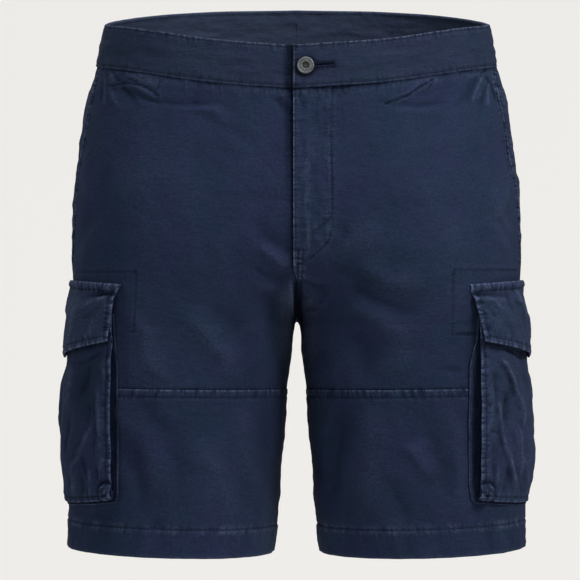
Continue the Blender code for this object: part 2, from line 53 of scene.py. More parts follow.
FLY_BOTTOM_Z, UNDERLAP = -190.0, 8.0
BUTTON_X, BUTTON_R = 7.1, 7.5
HOLE_FROM, HOLE_TO = 4.6, 29.0
POCKET_TOP_Z, POCKET_BOTTOM_Z = -238.0, -409.0
POCKET_HALF_TOP, POCKET_HALF_LOW = 112.6, 105.7
FLAP_HALF, FLAP_TOP_Z, FLAP_EAR_TALL = 115.6, -211.0, 10.0
FLAP_EAR = {"left": 7.4, "right": 4.4}
FLAP_POINT_Z, FLAP_CORNER_Z = -281.0, -263.5
CLOTH = 1.0
EYE = 2400.0  # the camera's distance in front of the middle of the garment

SECTION_COLUMNS = ("z", "side", "apex", "inner", "front", "back", "mid", "n_out", "n_in", "valley")
SECTIONS = (
    (60.0, 164.0, 8.0, 0.0, 101.0, 104.0, 0.0, 2.00, 2.0, 4.0),
    (19.0, 172.3, 8.0, 0.0, 105.0, 108.0, 0.0, 2.00, 2.0, 4.0),
    (-13.0, 178.6, 10.0, 0.0, 109.5, 113.0, 0.0, 2.00, 2.0, 5.0),
    (-24.0, 180.4, 12.0, 0.0, 111.0, 115.5, 0.0, 2.02, 2.0, 6.0),
    (-47.0, 186.3, 18.0, 0.0, 114.0, 120.5, 0.5, 2.05, 2.0, 9.0),
    (-78.0, 192.4, 30.0, 0.0, 118.0, 126.5, 1.0, 2.08, 2.0, 15.0),
    (-110.0, 197.0, 45.0, 0.0, 121.5, 131.5, 1.5, 2.10, 2.0, 20.0),
    (-143.0, 200.5, 62.0, 0.0, 124.0, 134.0, 2.0, 2.12, 2.1, 21.0),
    (-175.0, 201.2, 78.0, 0.0, 124.0, 133.5, 2.5, 2.12, 2.3, 17.0),
    (-200.0, 201.4, 89.0, 0.3, 121.5, 131.0, 3.0, 2.12, 2.5, 10.0),
    (-214.0, 201.0, 94.0, 2.4, 119.5, 129.0, 3.2, 2.10, 2.6, 4.0),
    (-230.0, 200.9, 99.0, 3.5, 117.0, 126.0, 3.5, 2.10, 2.7, 0.0),
    (-249.0, 201.4, 102.5, 3.0, 114.5, 121.5, 3.8, 2.08, 2.7, 0.0),
    (-262.0, 202.0, 103.0, 3.7, 112.8, 118.5, 3.8, 2.06, 2.6, 0.0),
    (-283.0, 202.2, 103.8, 5.4, 110.5, 114.0, 3.5, 2.05, 2.5, 0.0),
    (-305.0, 202.5, 105.0, 7.6, 108.5, 110.0, 3.2, 2.05, 2.4, 0.0),
    (-337.0, 203.0, 106.5, 9.8, 105.5, 105.5, 2.8, 2.04, 2.3, 0.0),
    (-370.0, 203.6, 108.5, 13.4, 103.0, 102.0, 2.4, 2.03, 2.2, 0.0),
    (-412.0, 204.4, 111.0, 17.4, 100.0, 98.5, 2.0, 2.02, 2.1, 0.0),
    (-455.0, 206.0, 114.0, 21.6, 98.0, 96.0, 1.5, 2.00, 2.1, 0.0),
    (-475.0, 206.8, 115.0, 23.2, 97.5, 95.5, 1.5, 2.00, 2.1, 0.0),
)
RISE = (  # height over the crotch, y of the front and of the back rise seam
    (0.0, 4.0, 4.0),
    (1.3, -7.0, 15.0),
    (4.8, -19.5, 30.0),
    (10.8, -36.0, 49.0),
    (18.8, -55.0, 69.0),
    (26.8, -72.0, 86.0),
    (34.8, -86.0, 99.0),
    (42.8, -97.0, 108.5),
    (50.8, -104.5, 115.5),
    (60.8, -110.5, 121.5),
    (73.8, -115.0, 126.0),
    (98.8, -119.6, 130.5),
    (138.8, -119.3, 130.8),
    (178.8, -115.9, 126.4),
    (201.8, -113.0, 120.4),
    (235.8, -109.2, 112.6),
    (267.8, -104.8, 107.8),
    (308.8, -100.8, 103.8),
)
TOP_EDGE = (  # angle round the waist from centre front, z of the band's top edge
    (0.0, -9.6),
    (16.5, -5.8),
    (29.0, -1.2),
    (41.0, 4.4),
    (58.0, 11.0),
    (74.0, 15.2),
    (90.0, 19.2),
    (106.0, 25.0),
    (122.0, 31.2),
    (140.0, 37.2),
    (160.0, 41.4),
    (180.0, 42.8),
)
FACE_OFF = (  # z, how far the pocket face stands off at the side seam and at its edges
    (-236.0, 2.7, 3.6),
    (-262.0, 4.0, 6.4),
    (-281.0, 4.5, 8.0),
    (-294.0, 5.6, 8.8),
    (-305.0, 7.0, 9.4),
    (-326.0, 8.7, 10.0),
    (-348.0, 9.4, 10.2),
    (-369.0, 8.4, 9.8),
    (-388.0, 5.8, 8.6),
    (-400.0, 4.4, 6.4),
    (-412.0, 3.4, 4.2),
)
FLAP_OFF = (
    (-209.0, 2.6, 2.7),
    (-222.0, 3.2, 3.7),
    (-232.0, 5.3, 6.3),
    (-241.0, 6.5, 8.0),
    (-252.0, 7.5, 9.6),
    (-266.0, 7.9, 10.7),
    (-285.0, 7.6, 11.4),
)
FOLD_COLUMNS = ("face", "side", "x0", "z0", "x1", "z1", "half_width", "height")
FOLDS = (  # the solids' own large folds
    ("front", "left", 50.0, -214.0, 102.0, -236.0, 12.0, -2.2),
    ("front", "left", 8.0, -212.0, 44.0, -232.0, 10.0, -1.8),
    ("front", "left", 60.0, -236.0, 120.0, -262.0, 16.0, 1.8),
    ("front", "right", 50.0, -74.0, 96.0, -58.0, 12.0, -1.5),
    ("front", "right", 16.0, -205.0, 62.0, -246.0, 14.0, 1.8),
    ("front", "right", 90.0, -414.0, 130.0, -330.0, 14.0, 2.0),
    ("front", "right", 110.0, -430.0, 150.0, -350.0, 11.0, -1.6),
    ("back", "left", 18.0, -206.0, 92.0, -252.0, 15.0, -2.4),
    ("back", "left", 50.0, -330.0, 120.0, -300.0, 15.0, 1.8),
    ("back", "right", 22.0, -210.0, 100.0, -240.0, 14.0, -2.2),
    ("back", "right", 40.0, -300.0, 120.0, -345.0, 16.0, 1.8),
)

# Creases. u is across and w is up, in mm on the upright plane through the garment's
# middle, as seen from straight in front (front) or straight behind (back, where u
# still grows to the wearer's left). bow bends the run sideways by that much at its
# middle. lean above zero makes the side on the right of the run the steeper one.
CREASE_COLUMNS = ("u0", "w0", "u1", "w1", "bow", "half_width", "height", "lean")
FRONT_CREASES = (
    # under the waistband, wearer's right
    (-172.0, 194.0, -160.0, 162.0, -2.0, 2.6, 0.9, 0.4),
    (-168.0, 194.0, -146.0, 166.0, 3.0, 3.0, -0.8, 0.0),
    (-166.0, 186.0, -128.0, 172.0, 3.0, 2.6, 0.8, 0.3),
    (-150.0, 183.0, -120.0, 166.0, -2.0, 2.2, -0.6, 0.0),
    (-132.0, 170.5, -70.0, 168.0, -2.5, 2.8, -0.7, 0.3),
    (-110.0, 163.0, -64.0, 160.0, 1.5, 3.0, 0.5, 0.0),
    (-90.0, 155.0, -38.0, 129.0, 3.0, 6.0, -0.5, 0.4),
    (-92.0, 166.0, -60.0, 146.0, 4.0, 7.0, 0.8, 0.0),
    (-16.0, 177.0, -3.0, 161.0, 1.0, 2.2, 0.9, 0.0),
    (-24.0, 174.0, -10.0, 158.0, 1.0, 2.4, -0.7, 0.0),
    # under the waistband, wearer's left
    (172.0, 196.0, 158.0, 168.0, 3.0, 2.6, 0.9, -0.4),
    (172.0, 194.0, 164.0, 152.0, 2.0, 2.6, -0.8, 0.0),
    (176.0, 194.0, 172.0, 158.0, -2.0, 2.4, 0.8, 0.0),
    (160.0, 190.0, 140.0, 162.0, 3.0, 3.2, -0.7, 0.0),
    (126.0, 187.0, 96.0, 172.0, -3.0, 2.6, 0.7, 0.0),
    (70.0, 169.5, 132.0, 167.0, -2.5, 2.6, -0.7, 0.3),
    (84.0, 160.0, 128.0, 158.5, 1.5, 3.2, 0.5, 0.0),
    # down the wearer's left side
    (186.0, 120.0, 178.0, 60.0, 6.0, 4.0, 0.9, 0.3),
    (178.0, 92.0, 192.0, 50.0, -4.0, 3.6, 0.9, -0.4),
    (184.0, 140.0, 190.0, 96.0, 3.0, 3.0, -0.8, 0.0),
    (170.0, 62.0, 188.0, 30.0, 4.0, 4.0, 0.7, 0.0),
    # down the wearer's right side
    (-188.0, 128.0, -180.0, 70.0, -6.0, 4.0, 0.7, -0.3),
    (-178.0, 60.0, -192.0, 22.0, -4.0, 3.6, 0.7, 0.3),
    (-170.0, 110.0, -176.0, 60.0, -3.0, 5.0, -0.6, 0.0),
    # round the crotch, wearer's right
    (-3.0, 20.0, -34.0, 40.0, 3.0, 5.0, 1.5, -0.5),
    (-3.0, 10.0, -44.0, 22.0, 4.0, 5.5, -0.9, 0.3),
    (-4.0, 2.0, -40.0, 4.0, 3.0, 5.0, 0.8, -0.4),
    (-5.0, -9.0, -32.0, -14.0, 2.0, 4.0, -0.3, 0.3),
    (-4.0, 34.0, -40.0, 62.0, 4.0, 7.0, -0.9, 0.0),
    # round the crotch, wearer's left
    (3.0, 18.0, 24.0, 6.0, -3.0, 3.2, 1.5, 0.5),
    (4.0, 12.0, 26.0, -4.0, -3.0, 3.4, -0.9, 0.0),
    (6.0, -6.0, 24.0, -16.0, -2.0, 3.0, 1.1, 0.4),
    (8.0, -14.0, 18.0, -17.0, 0.0, 1.8, -0.4, 0.0),
    (8.0, -19.0, 17.0, -21.0, 0.0, 1.8, 0.7, 0.0),
    (26.0, 24.0, 74.0, 8.0, -4.0, 7.0, -1.3, -0.3),
    (44.0, 10.0, 108.0, -22.0, -6.0, 7.0, -1.5, -0.5),
    (58.0, 22.0, 110.0, 2.0, -6.0, 9.0, 1.3, 0.3),
    (40.0, -4.0, 96.0, -34.0, -6.0, 9.0, 0.6, 0.4),
    (20.0, 30.0, 44.0, 60.0, -4.0, 6.0, -0.9, 0.0),
    (30.0, 40.0, 80.0, 60.0, -4.0, 12.0, 0.8, 0.0),
    # upper legs
    (-104.0, -22.0, -58.0, -78.0, 6.0, 11.0, 1.4, 0.3),
    (-78.0, -16.0, -38.0, -62.0, 6.0, 12.0, -1.0, 0.0),
    (-140.0, -40.0, -120.0, -82.0, -4.0, 7.0, 0.9, 0.3),
    (-150.0, -20.0, -128.0, -44.0, -2.0, 5.0, 0.7, 0.0),
    (48.0, -30.0, 58.0, -84.0, 6.0, 11.0, -1.5, 0.3),
    (26.0, -34.0, 32.0, -84.0, 3.0, 10.0, 0.9, 0.0),
    (84.0, -28.0, 92.0, -80.0, 6.0, 14.0, 0.9, 0.0),
    (128.0, -72.0, 150.0, -74.0, 1.0, 2.0, -0.7, 0.3),
    (-44.0, -24.0, -26.0, -70.0, 3.0, 9.0, 0.7, 0.0),
    # lower legs, wearer's right
    (-169.0, -96.0, -127.0, -204.0, 8.0, 10.0, 0.8, 0.5),
    (-145.0, -96.0, -104.0, -200.0, 10.0, 10.0, -1.4, 0.3),
    (-96.0, -130.0, -58.0, -214.0, 6.0, 12.0, 1.1, 0.0),
    (-48.0, -104.0, -34.0, -190.0, -5.0, 10.0, 1.0, 0.3),
    (-26.0, -110.0, -20.0, -190.0, -3.0, 7.0, -1.1, 0.0),
    (-152.0, -130.0, -140.0, -204.0, 4.0, 8.0, -1.0, 0.0),
    (-128.0, -206.0, -120.0, -238.0, 2.0, 6.0, -0.8, 0.0),
    # lower legs, wearer's left
    (40.0, -106.0, 30.0, -196.0, -4.0, 9.0, -2.6, 0.3),
    (60.0, -104.0, 58.0, -200.0, 5.0, 12.0, 1.0, 0.0),
    (96.0, -140.0, 122.0, -172.0, 3.0, 7.0, 1.23, 0.4),
    (110.0, -112.0, 134.0, -196.0, 5.0, 10.0, -1.3, 0.0),
    (140.0, -108.0, 144.0, -200.0, 3.0, 7.0, 1.1, 0.0),
    (76.0, -170.0, 96.0, -216.0, 5.0, 10.0, -1.1, 0.0),
    (22.0, -120.0, 22.0, -200.0, 2.0, 6.0, 0.7, 0.0),
    (170.0, -214.0, 176.0, -240.0, 1.0, 3.0, -0.8, 0.0),
    (182.0, -216.0, 186.0, -242.0, 1.0, 3.0, 0.8, 0.0),
)
BACK_CREASES = (
    # seat and crotch
    (-4.0, 10.0, -62.0, 44.0, 8.0, 8.0, 1.5, 0.4),
    (-5.0, -4.0, -82.0, 22.0, 10.0, 8.0, -1.8, 0.3),
    (-6.0, -14.0, -70.0, -6.0, 6.0, 7.0, 1.4, 0.3),
    (-8.0, -24.0, -54.0, -36.0, 4.0, 6.0, -1.2, 0.0),
    (4.0, 14.0, 58.0, 38.0, -7.0, 8.0, 1.3, -0.4),
    (5.0, 0.0, 90.0, 28.0, -10.0, 8.0, -1.7, -0.3),
    (6.0, -12.0, 66.0, -2.0, -6.0, 7.0, 1.4, -0.3),
    (8.0, -22.0, 60.0, -38.0, -4.0, 6.5, -1.2, 0.0),
    (-60.0, 60.0, -120.0, 96.0, 8.0, 12.0, 0.9, 0.0),
    (70.0, 66.0, 128.0, 92.0, -8.0, 12.0, -0.9, 0.0),
    (-20.0, 150.0, -78.0, 168.0, 4.0, 4.0, -0.9, 0.3),
    (16.0, 160.0, 84.0, 170.0, -4.0, 4.5, -0.9, -0.3),
    (-90.0, 176.0, -130.0, 150.0, 4.0, 5.0, 0.8, 0.0),
    (96.0, 178.0, 140.0, 158.0, -4.0, 5.0, 0.8, 0.0),
    (-164.0, 178.0, -150.0, 130.0, -3.0, 4.0, 0.8, 0.0),
    (166.0, 176.0, 156.0, 126.0, 3.0, 4.0, -0.8, 0.0),
    # down the legs
    (-120.0, -14.0, -60.0, -60.0, 8.0, 10.0, 1.3, 0.3),
    (-128.0, -50.0, -84.0, -120.0, 8.0, 10.0, -1.3, 0.0),
    (-60.0, -70.0, -110.0, -150.0, -8.0, 12.0, 1.3, 0.3),
    (-40.0, -100.0, -56.0, -196.0, -6.0, 10.0, -1.2, 0.0),
    (-96.0, -160.0, -140.0, -206.0, 6.0, 9.0, 1.0, 0.0),
    (126.0, -6.0, 66.0, -48.0, -8.0, 10.0, -1.3, 0.3),
    (120.0, -52.0, 78.0, -130.0, -8.0, 11.0, 1.3, 0.0),
    (52.0, -66.0, 100.0, -140.0, 8.0, 11.0, -1.2, 0.3),
    (38.0, -104.0, 60.0, -200.0, 6.0, 10.0, 1.2, 0.0),
    (92.0, -166.0, 136.0, -210.0, -6.0, 9.0, -1.0, 0.0),
    (-26.0, -80.0, -28.0, -180.0, -2.0, 7.0, 0.8, 0.0),
    (26.0, -90.0, 30.0, -176.0, 2.0, 7.0, -0.8, 0.0),
)
# Creases of the pocket faces and flaps that show from in front, by u and w.
FACE_CREASES = {
    "left": (
        (182.0, -98.0, 188.8, -146.0, -1.5, 3.4, 2.2, 0.5),
        (187.6, -140.0, 195.5, -184.0, 1.5, 3.4, 2.2, 0.5),
        (183.0, -62.0, 196.0, -88.0, 1.0, 3.0, 2.3, 0.4),
        (194.0, -84.0, 203.5, -122.0, 3.0, 3.2, 2.2, 0.3),
        (178.0, -74.0, 181.0, -104.0, 1.0, 4.0, -2.0, 0.0),
        (190.0, -92.0, 190.0, -124.0, 0.0, 4.0, -2.0, 0.0),
        (199.0, -124.0, 200.0, -168.0, 2.0, 6.0, 1.5, 0.0),
        (206.0, -70.0, 211.0, -104.0, 1.0, 3.0, 1.4, 0.3),
        (174.0, -82.0, 172.0, -128.0, 2.0, 5.0, 1.2, 0.3),
        (178.0, -138.0, 178.0, -172.0, 1.0, 5.0, -1.6, 0.0),
        (163.0, -126.0, 183.0, -129.5, 1.0, 1.7, -1.3, 0.3),
        (166.0, -146.0, 176.0, -148.0, 0.5, 1.6, -0.9, 0.0),
        (191.0, -158.0, 185.0, -188.0, 1.0, 2.6, -1.5, 0.2),
        (197.0, -156.0, 205.0, -186.0, -1.0, 3.0, -1.2, 0.2),
        (203.0, -150.0, 207.0, -184.0, 1.0, 2.6, 1.5, 0.2),
        (182.0, -160.0, 176.0, -186.0, 1.0, 2.6, 1.5, 0.2),
        (186.0, -52.0, 204.0, -62.0, 1.0, 3.0, -1.5, 0.3),
    ),
    "right": (
        (-187.0, -66.0, -198.5, -98.0, 2.0, 9.0, -1.7, 0.0),
        (-180.0, -86.0, -179.0, -160.0, 1.0, 4.6, 1.9, 0.3),
        (-184.0, -118.0, -204.0, -162.0, 1.0, 4.6, 1.6, 0.3),
        (-196.0, -146.0, -192.0, -168.0, 1.0, 5.0, -1.7, 0.0),
        (-202.0, -66.0, -208.0, -104.0, 2.0, 4.0, 1.5, 0.3),
        (-176.0, -64.0, -174.0, -86.0, 1.0, 4.0, 1.3, 0.0),
        (-205.0, -112.0, -209.0, -150.0, -1.0, 4.0, -1.6, 0.2),
        (-188.0, -100.0, -190.0, -120.0, 1.0, 4.0, -1.3, 0.0),
        (-173.0, -100.0, -171.0, -140.0, 1.0, 3.0, -1.0, 0.0),
        (-182.0, -158.0, -178.0, -186.0, 1.0, 2.6, -1.7, 0.2),
        (-188.0, -160.0, -187.0, -188.0, 1.0, 2.6, 1.8, 0.2),
        (-196.0, -164.0, -194.0, -188.0, 0.5, 2.4, -1.6, 0.2),
        (-202.0, -158.0, -201.0, -188.0, 0.5, 2.6, 1.6, 0.2),
        (-175.0, -150.0, -181.0, -176.0, 0.5, 2.4, 1.4, 0.2),
        (-176.0, -54.0, -198.0, -66.0, 1.0, 3.4, -1.5, 0.3),
    ),
}
LID_CREASES = {
    "left": (
        (193.0, 3.0, 201.0, -14.0, 1.0, 2.4, 2.0, 0.4),
        (199.0, -9.0, 206.5, -26.0, 1.0, 2.4, 1.9, 0.4),
        (188.0, 0.0, 196.0, -20.0, -1.0, 2.8, -1.6, 0.0),
        (168.0, -6.0, 184.0, -18.0, 1.5, 2.8, 1.5, 0.3),
        (166.0, -12.0, 180.0, -28.0, 1.5, 3.2, -1.5, 0.0),
        (180.0, -24.0, 178.0, -40.0, 1.0, 4.0, 1.3, 0.0),
        (190.0, -28.0, 196.0, -46.0, 1.0, 4.0, -1.3, 0.0),
    ),
    "right": (
        (-161.0, -1.5, -181.0, -8.5, -0.5, 1.9, 2.6, 0.5),
        (-178.0, -7.0, -198.0, -17.0, -0.5, 2.4, 2.1, 0.5),
        (-164.0, 1.0, -184.0, -3.0, -0.5, 2.6, -2.2, 0.0),
        (-176.0, -14.0, -196.0, -26.0, 1.0, 5.0, -1.5, 0.0),
        (-200.0, -14.0, -206.0, -42.0, 1.0, 3.0, 1.6, 0.3),
        (-186.0, -28.0, -190.0, -46.0, 1.0, 4.0, 1.2, 0.0),
        (-176.0, -20.0, -178.0, -42.0, 1.0, 4.0, -1.0, 0.0),
    ),
}
# Those round the side and behind, by q, the distance round the leg from the side
# seam (above zero to the front), and z.
POCKET_CREASES = {
    "left": (
        (16.0, -296.0, 10.0, -352.0, -6.0, 6.0, -1.8, 0.3),
        (2.0, -300.0, -12.0, -366.0, -6.0, 7.0, 2.0, 0.3),
        (14.0, -352.0, 8.0, -400.0, 2.0, 5.0, 1.6, 0.0),
        (-14.0, -296.0, -26.0, -340.0, 4.0, 5.0, -1.6, 0.3),
        (-34.0, -300.0, -46.0, -372.0, 6.0, 7.0, 2.0, 0.3),
        (-66.0, -292.0, -58.0, -352.0, 4.0, 6.0, -1.8, 0.3),
        (-86.0, -306.0, -80.0, -376.0, -4.0, 5.0, 1.5, 0.0),
        (-20.0, -366.0, -30.0, -402.0, 2.0, 4.0, -1.6, 0.0),
        (-50.0, -360.0, -66.0, -400.0, 2.0, 5.0, -1.5, 0.0),
        (-72.0, -368.0, -74.0, -402.0, 1.0, 3.0, 1.3, 0.0),
        (-90.0, -292.0, -64.0, -284.0, 2.0, 3.0, -1.2, 0.0),
        (-98.0, -398.0, -84.0, -384.0, 1.0, 2.8, 1.7, 0.3),
    ),
    "right": (
        (14.0, -300.0, 8.0, -360.0, -4.0, 6.0, -1.6, 0.0),
        (-2.0, -288.0, -6.0, -352.0, 5.0, 6.0, 1.9, 0.3),
        (-24.0, -296.0, -30.0, -372.0, 4.0, 6.0, -1.9, 0.3),
        (-44.0, -298.0, -40.0, -360.0, 4.0, 5.0, 1.6, 0.3),
        (-68.0, -290.0, -74.0, -358.0, -4.0, 6.0, -1.6, 0.0),
        (-88.0, -310.0, -86.0, -380.0, -2.0, 4.0, 1.3, 0.0),
        (-56.0, -362.0, -50.0, -402.0, 2.0, 4.0, 1.4, 0.0),
        (0.0, -366.0, 4.0, -402.0, 1.0, 4.0, -1.4, 0.0),
        (-22.0, -372.0, -20.0, -402.0, 1.0, 3.0, 1.3, 0.0),
        (-76.0, -372.0, -70.0, -402.0, 1.0, 3.0, -1.3, 0.0),
        (-98.0, -398.0, -84.0, -384.0, 1.0, 2.8, 1.7, 0.3),
    ),
}
FLAP_CREASES = {
    "left": (
        (22.0, -216.0, 4.0, -242.0, -3.0, 4.0, -1.4, 0.0),
        (6.0, -236.0, -8.0, -272.0, 3.0, 5.0, 1.4, 0.0),
        (-30.0, -218.0, -62.0, -250.0, 4.0, 5.0, 1.5, 0.3),
        (-50.0, -222.0, -40.0, -262.0, 3.0, 4.0, -1.2, 0.3),
        (-84.0, -222.0, -60.0, -244.0, 3.0, 4.0, -1.4, 0.0),
        (-104.0, -218.0, -66.0, -230.0, 2.0, 3.0, 1.6, 0.3),
    ),
    "right": (
        (18.0, -216.0, 6.0, -244.0, 2.0, 4.0, 1.3, 0.0),
        (-4.0, -230.0, 2.0, -272.0, 3.0, 5.0, -1.4, 0.0),
        (-30.0, -220.0, -58.0, -248.0, 4.0, 5.0, -1.5, 0.3),
        (-46.0, -240.0, -40.0, -270.0, 2.0, 4.0, 1.3, 0.0),
        (-78.0, -226.0, -64.0, -252.0, 3.0, 4.0, 1.4, 0.0),
        (-104.0, -218.0, -70.0, -228.0, 2.0, 3.0, 1.6, 0.3),
    ),
}


# ---------------------------------------------------------------- mathematics
def smooth_through(xs, ys):
    """A curve through the table's rows whose slope never overshoots them."""
    order = np.argsort(xs)
    xs, ys = np.asarray(xs, float)[order], np.asarray(ys, float)[order]
    step = np.diff(xs)
    slope = np.diff(ys) / step
    tangent = np.zeros_like(ys)
    tangent[0], tangent[-1] = slope[0], slope[-1]
    for i in range(1, len(xs) - 1):
        if slope[i - 1] * slope[i] > 0:
            a, b = 2 * step[i] + step[i - 1], step[i] + 2 * step[i - 1]
            tangent[i] = (a + b) / (a / slope[i - 1] + b / slope[i])

    def at(x):
        x = np.clip(np.asarray(x, float), xs[0], xs[-1])
        i = np.clip(np.searchsorted(xs, x) - 1, 0, len(step) - 1)
        t = (x - xs[i]) / step[i]
        return (
            (1 + 2 * t) * (1 - t) ** 2 * ys[i]
            + t * (1 - t) ** 2 * step[i] * tangent[i]
            + t * t * (3 - 2 * t) * ys[i + 1]
            + t * t * (t - 1) * step[i] * tangent[i + 1]
        )

    return at


def smoothstep(x, low, high):
    t = np.clip((x - low) / (high - low), 0.0, 1.0)
    return t * t * (3 - 2 * t)


def bell(x, width):
    return np.exp(-((x / width) ** 2))


def near(p, axis=-1):
    return np.sqrt((p * p).sum(axis))


def unit(v):
    return v / np.maximum(near(v)[..., None], 1e-12)


_shuffled = np.random.RandomState(7).permutation(256)
_hash = np.concatenate([_shuffled, _shuffled, _shuffled])
_lean = unit(np.random.RandomState(11).normal(size=(256, 3)))


def noise(p, seed=0):
    """Gradient noise, about -1 to 1, at points of shape (..., 3)."""
    p = np.asarray(p, float) + seed * 17.31
    cell = np.floor(p).astype(int)
    f = p - cell
    cell &= 255
    s = f * f * f * (f * (f * 6 - 15) + 10)
    total = 0.0
    for i in (0, 1):
        for j in (0, 1):
            for k in (0, 1):
                h = _hash[_hash[_hash[(cell[..., 0] + i) & 255] + ((cell[..., 1] + j) & 255)] + ((cell[..., 2] + k) & 255)]
                g = _lean[h & 255]
                d = f - np.array((i, j, k), float)
                w = (
                    (s[..., 0] if i else 1 - s[..., 0])
                    * (s[..., 1] if j else 1 - s[..., 1])
                    * (s[..., 2] if k else 1 - s[..., 2])
                )
                total = total + w * (g * d).sum(-1)
    return total * 1.6


def ripple(s, seed, across=0.0):
    """Uneven waves along a seam, one per unit of s."""
    s = np.asarray(s, float)
    at = np.stack([s, np.broadcast_to(across, s.shape), np.full(s.shape, seed * 3.7)], -1)
    return noise(at, seed) + 0.45 * noise(at * 2.1, seed + 5)


SIZE = {
    name: smooth_through([r[0] for r in SECTIONS], [r[i] for r in SECTIONS])
    for i, name in enumerate(SECTION_COLUMNS)
    if i
}
_root = np.sqrt([r[0] for r in RISE])
RISE_Y = {
    "front": smooth_through(_root, [r[1] for r in RISE]),
    "back": smooth_through(_root, [r[2] for r in RISE]),
}
TOP_Z = smooth_through([r[0] for r in TOP_EDGE], [r[1] for r in TOP_EDGE])


def off_table(rows):
    centre = smooth_through([r[0] for r in rows], [r[1] for r in rows])
    edge = smooth_through([r[0] for r in rows], [r[2] for r in rows])
    return lambda q, z, half: centre(z) + (edge(z) - centre(z)) * np.minimum(np.abs(q) / half, 1.0) ** 3


face_off, flap_off = off_table(FACE_OFF), off_table(FLAP_OFF)


# --------------------------------------------------- the garment's own surface
def section(face, z):
    """One quarter of a level section, from its inner edge to the side seam."""
    side, apex, inner, mid = (float(SIZE[k](z)) for k in ("side", "apex", "inner", "mid"))
    n_out, n_in, deep = (float(SIZE[k](z)) for k in ("n_out", "n_in", face))
    sign = -1.0 if face == "front" else 1.0
    if z >= CROTCH_Z:
        reach = sign * (float(RISE_Y[face](math.sqrt(z - CROTCH_Z))) - mid) / deep
        start = math.asin(min(max(reach, 0.0), 0.99985) ** (n_in / 2))
        pull = 1.0
    else:
        start, pull = 0.0, math.exp((z - CROTCH_Z) / 1.4)
    wide = (apex - inner) / math.cos(start) ** (2 / n_in)
    turn = start + (math.pi / 2 - start) * np.linspace(0, 1, 300) ** 1.3
    x_in = apex - wide * np.maximum(np.cos(turn), 0.0) ** (2 / n_in)
    y_in = mid + sign * deep * np.sin(turn) ** (2 / n_in)
    turn = math.pi / 2 * (1 - np.linspace(0, 1, 300))
    x_out = apex + (side - apex) * np.maximum(np.cos(turn), 0.0) ** (2 / n_out)
    y_out = mid + sign * deep * np.maximum(np.sin(turn), 0.0) ** (2 / n_out)
    y_out[-1] = mid
    x, y = np.append(x_in[:-1], x_out), np.append(y_in[:-1], y_out)
    run = np.append(0, np.cumsum(np.hypot(np.diff(x), np.diff(y))))
    x = x - inner * pull * np.exp(-run / 2.5)
    soft = float(SIZE["valley"](z))
    if soft > 0:
        x_from = np.linspace(0, 1, 60) ** 2 * soft + soft
        y_from = np.interp(x_from, x, y)
        beyond = x > x_from[-1]
        x, y = np.append(x_from, x[beyond]), np.append(y_from, y[beyond])
        x = np.sqrt(np.maximum(x * x - soft * soft, 0.0))
    run = np.append(0, np.cumsum(np.hypot(np.diff(x), np.diff(y))))
    return x, y, run


class Stack:
    """Level sections above or below the crotch, read by the root of the distance
    to it, with each section's points at even shares of its length."""

    def __init__(self, face, above, reach, levels, shares=640):
        self.sign = 1.0 if above else -1.0
        self.roots = np.linspace(0.0, math.sqrt(reach), levels)
        self.share = np.linspace(0.0, 1.0, shares)
        self.full = np.zeros(levels)
        self.place = np.zeros((levels, shares, 3))
        for i, root in enumerate(self.roots):
            z = CROTCH_Z + self.sign * max(root * root, 1e-7)
            x, y, run = section(face, z)
            self.full[i] = run[-1]
            at = self.share * run[-1]
            self.place[i] = np.stack([np.interp(at, run, x), np.interp(at, run, y), np.full(shares, z)], -1)
        along = np.gradient(self.place, axis=1)
        up = np.gradient(self.place, axis=0) * self.sign
        out = np.cross(along, up) if face == "front" else np.cross(up, along)
        self.out = unit(out)
        self.out[0] = self.out[1]

    def length(self, z):
        return np.interp(np.sqrt(np.maximum(self.sign * (z - CROTCH_Z), 0.0)), self.roots, self.full)

    def read(self, share, z):
        i = np.sqrt(np.maximum(self.sign * (z - CROTCH_Z), 0.0)) / self.roots[1]
        i = np.clip(i, 0, len(self.roots) - 1.001)
        j = np.clip(share, 0, 1) * (len(self.share) - 1)
        j = np.clip(j, 0, len(self.share) - 1.0001)
        i0, j0 = i.astype(int), j.astype(int)
        fi, fj = (i - i0)[..., None], (j - j0)[..., None]
        found = []
        for grid in (self.place, self.out):
            found.append(
                grid[i0, j0] * (1 - fi) * (1 - fj)
                + grid[i0 + 1, j0] * fi * (1 - fj)
                + grid[i0, j0 + 1] * (1 - fi) * fj
                + grid[i0 + 1, j0 + 1] * fi * fj
            )
        found[0][..., 2] = z
        return found[0], unit(found[1])


STACKS = {face: (Stack(face, False, 232.0, 320), Stack(face, True, 308.8, 420)) for face in ("front", "back")}


def length(face, z):
    z = np.asarray(z, float)
    low, high = STACKS[face]
    return np.where(z >= CROTCH_Z, high.length(z), low.length(z))


def place(face, a, z):
    """Points and outward directions at arc length a from the inner edge."""
    a, z = np.broadcast_arrays(np.asarray(a, float), np.asarray(z, float))
    share = np.abs(a) / length(face, z)
    low, high = STACKS[face]
    (p_low, n_low), (p_high, n_high) = low.read(share, z), high.read(share, z)
    above = (z >= CROTCH_Z)[..., None]
    p, n = np.where(above, p_high, p_low), np.where(above, n_high, n_low)
    over = np.where((a < 0) & (z >= CROTCH_Z), -1.0, 1.0)
    p[..., 0] *= over
    n[..., 0] *= over
    return p, n


def beside(q, z):
    """The same, by arc length q from the side seam: above zero to the front."""
    q, z = np.broadcast_arrays(np.asarray(q, float), np.asarray(z, float))
    pf, nf = place("front", np.maximum(length("front", z) - np.abs(q), 0), z)
    pb, nb = place("back", np.maximum(length("back", z) - np.abs(q), 0), z)
    ahead = (q >= 0)[..., None]
    return np.where(ahead, pf, pb), np.where(ahead, nf, nb)


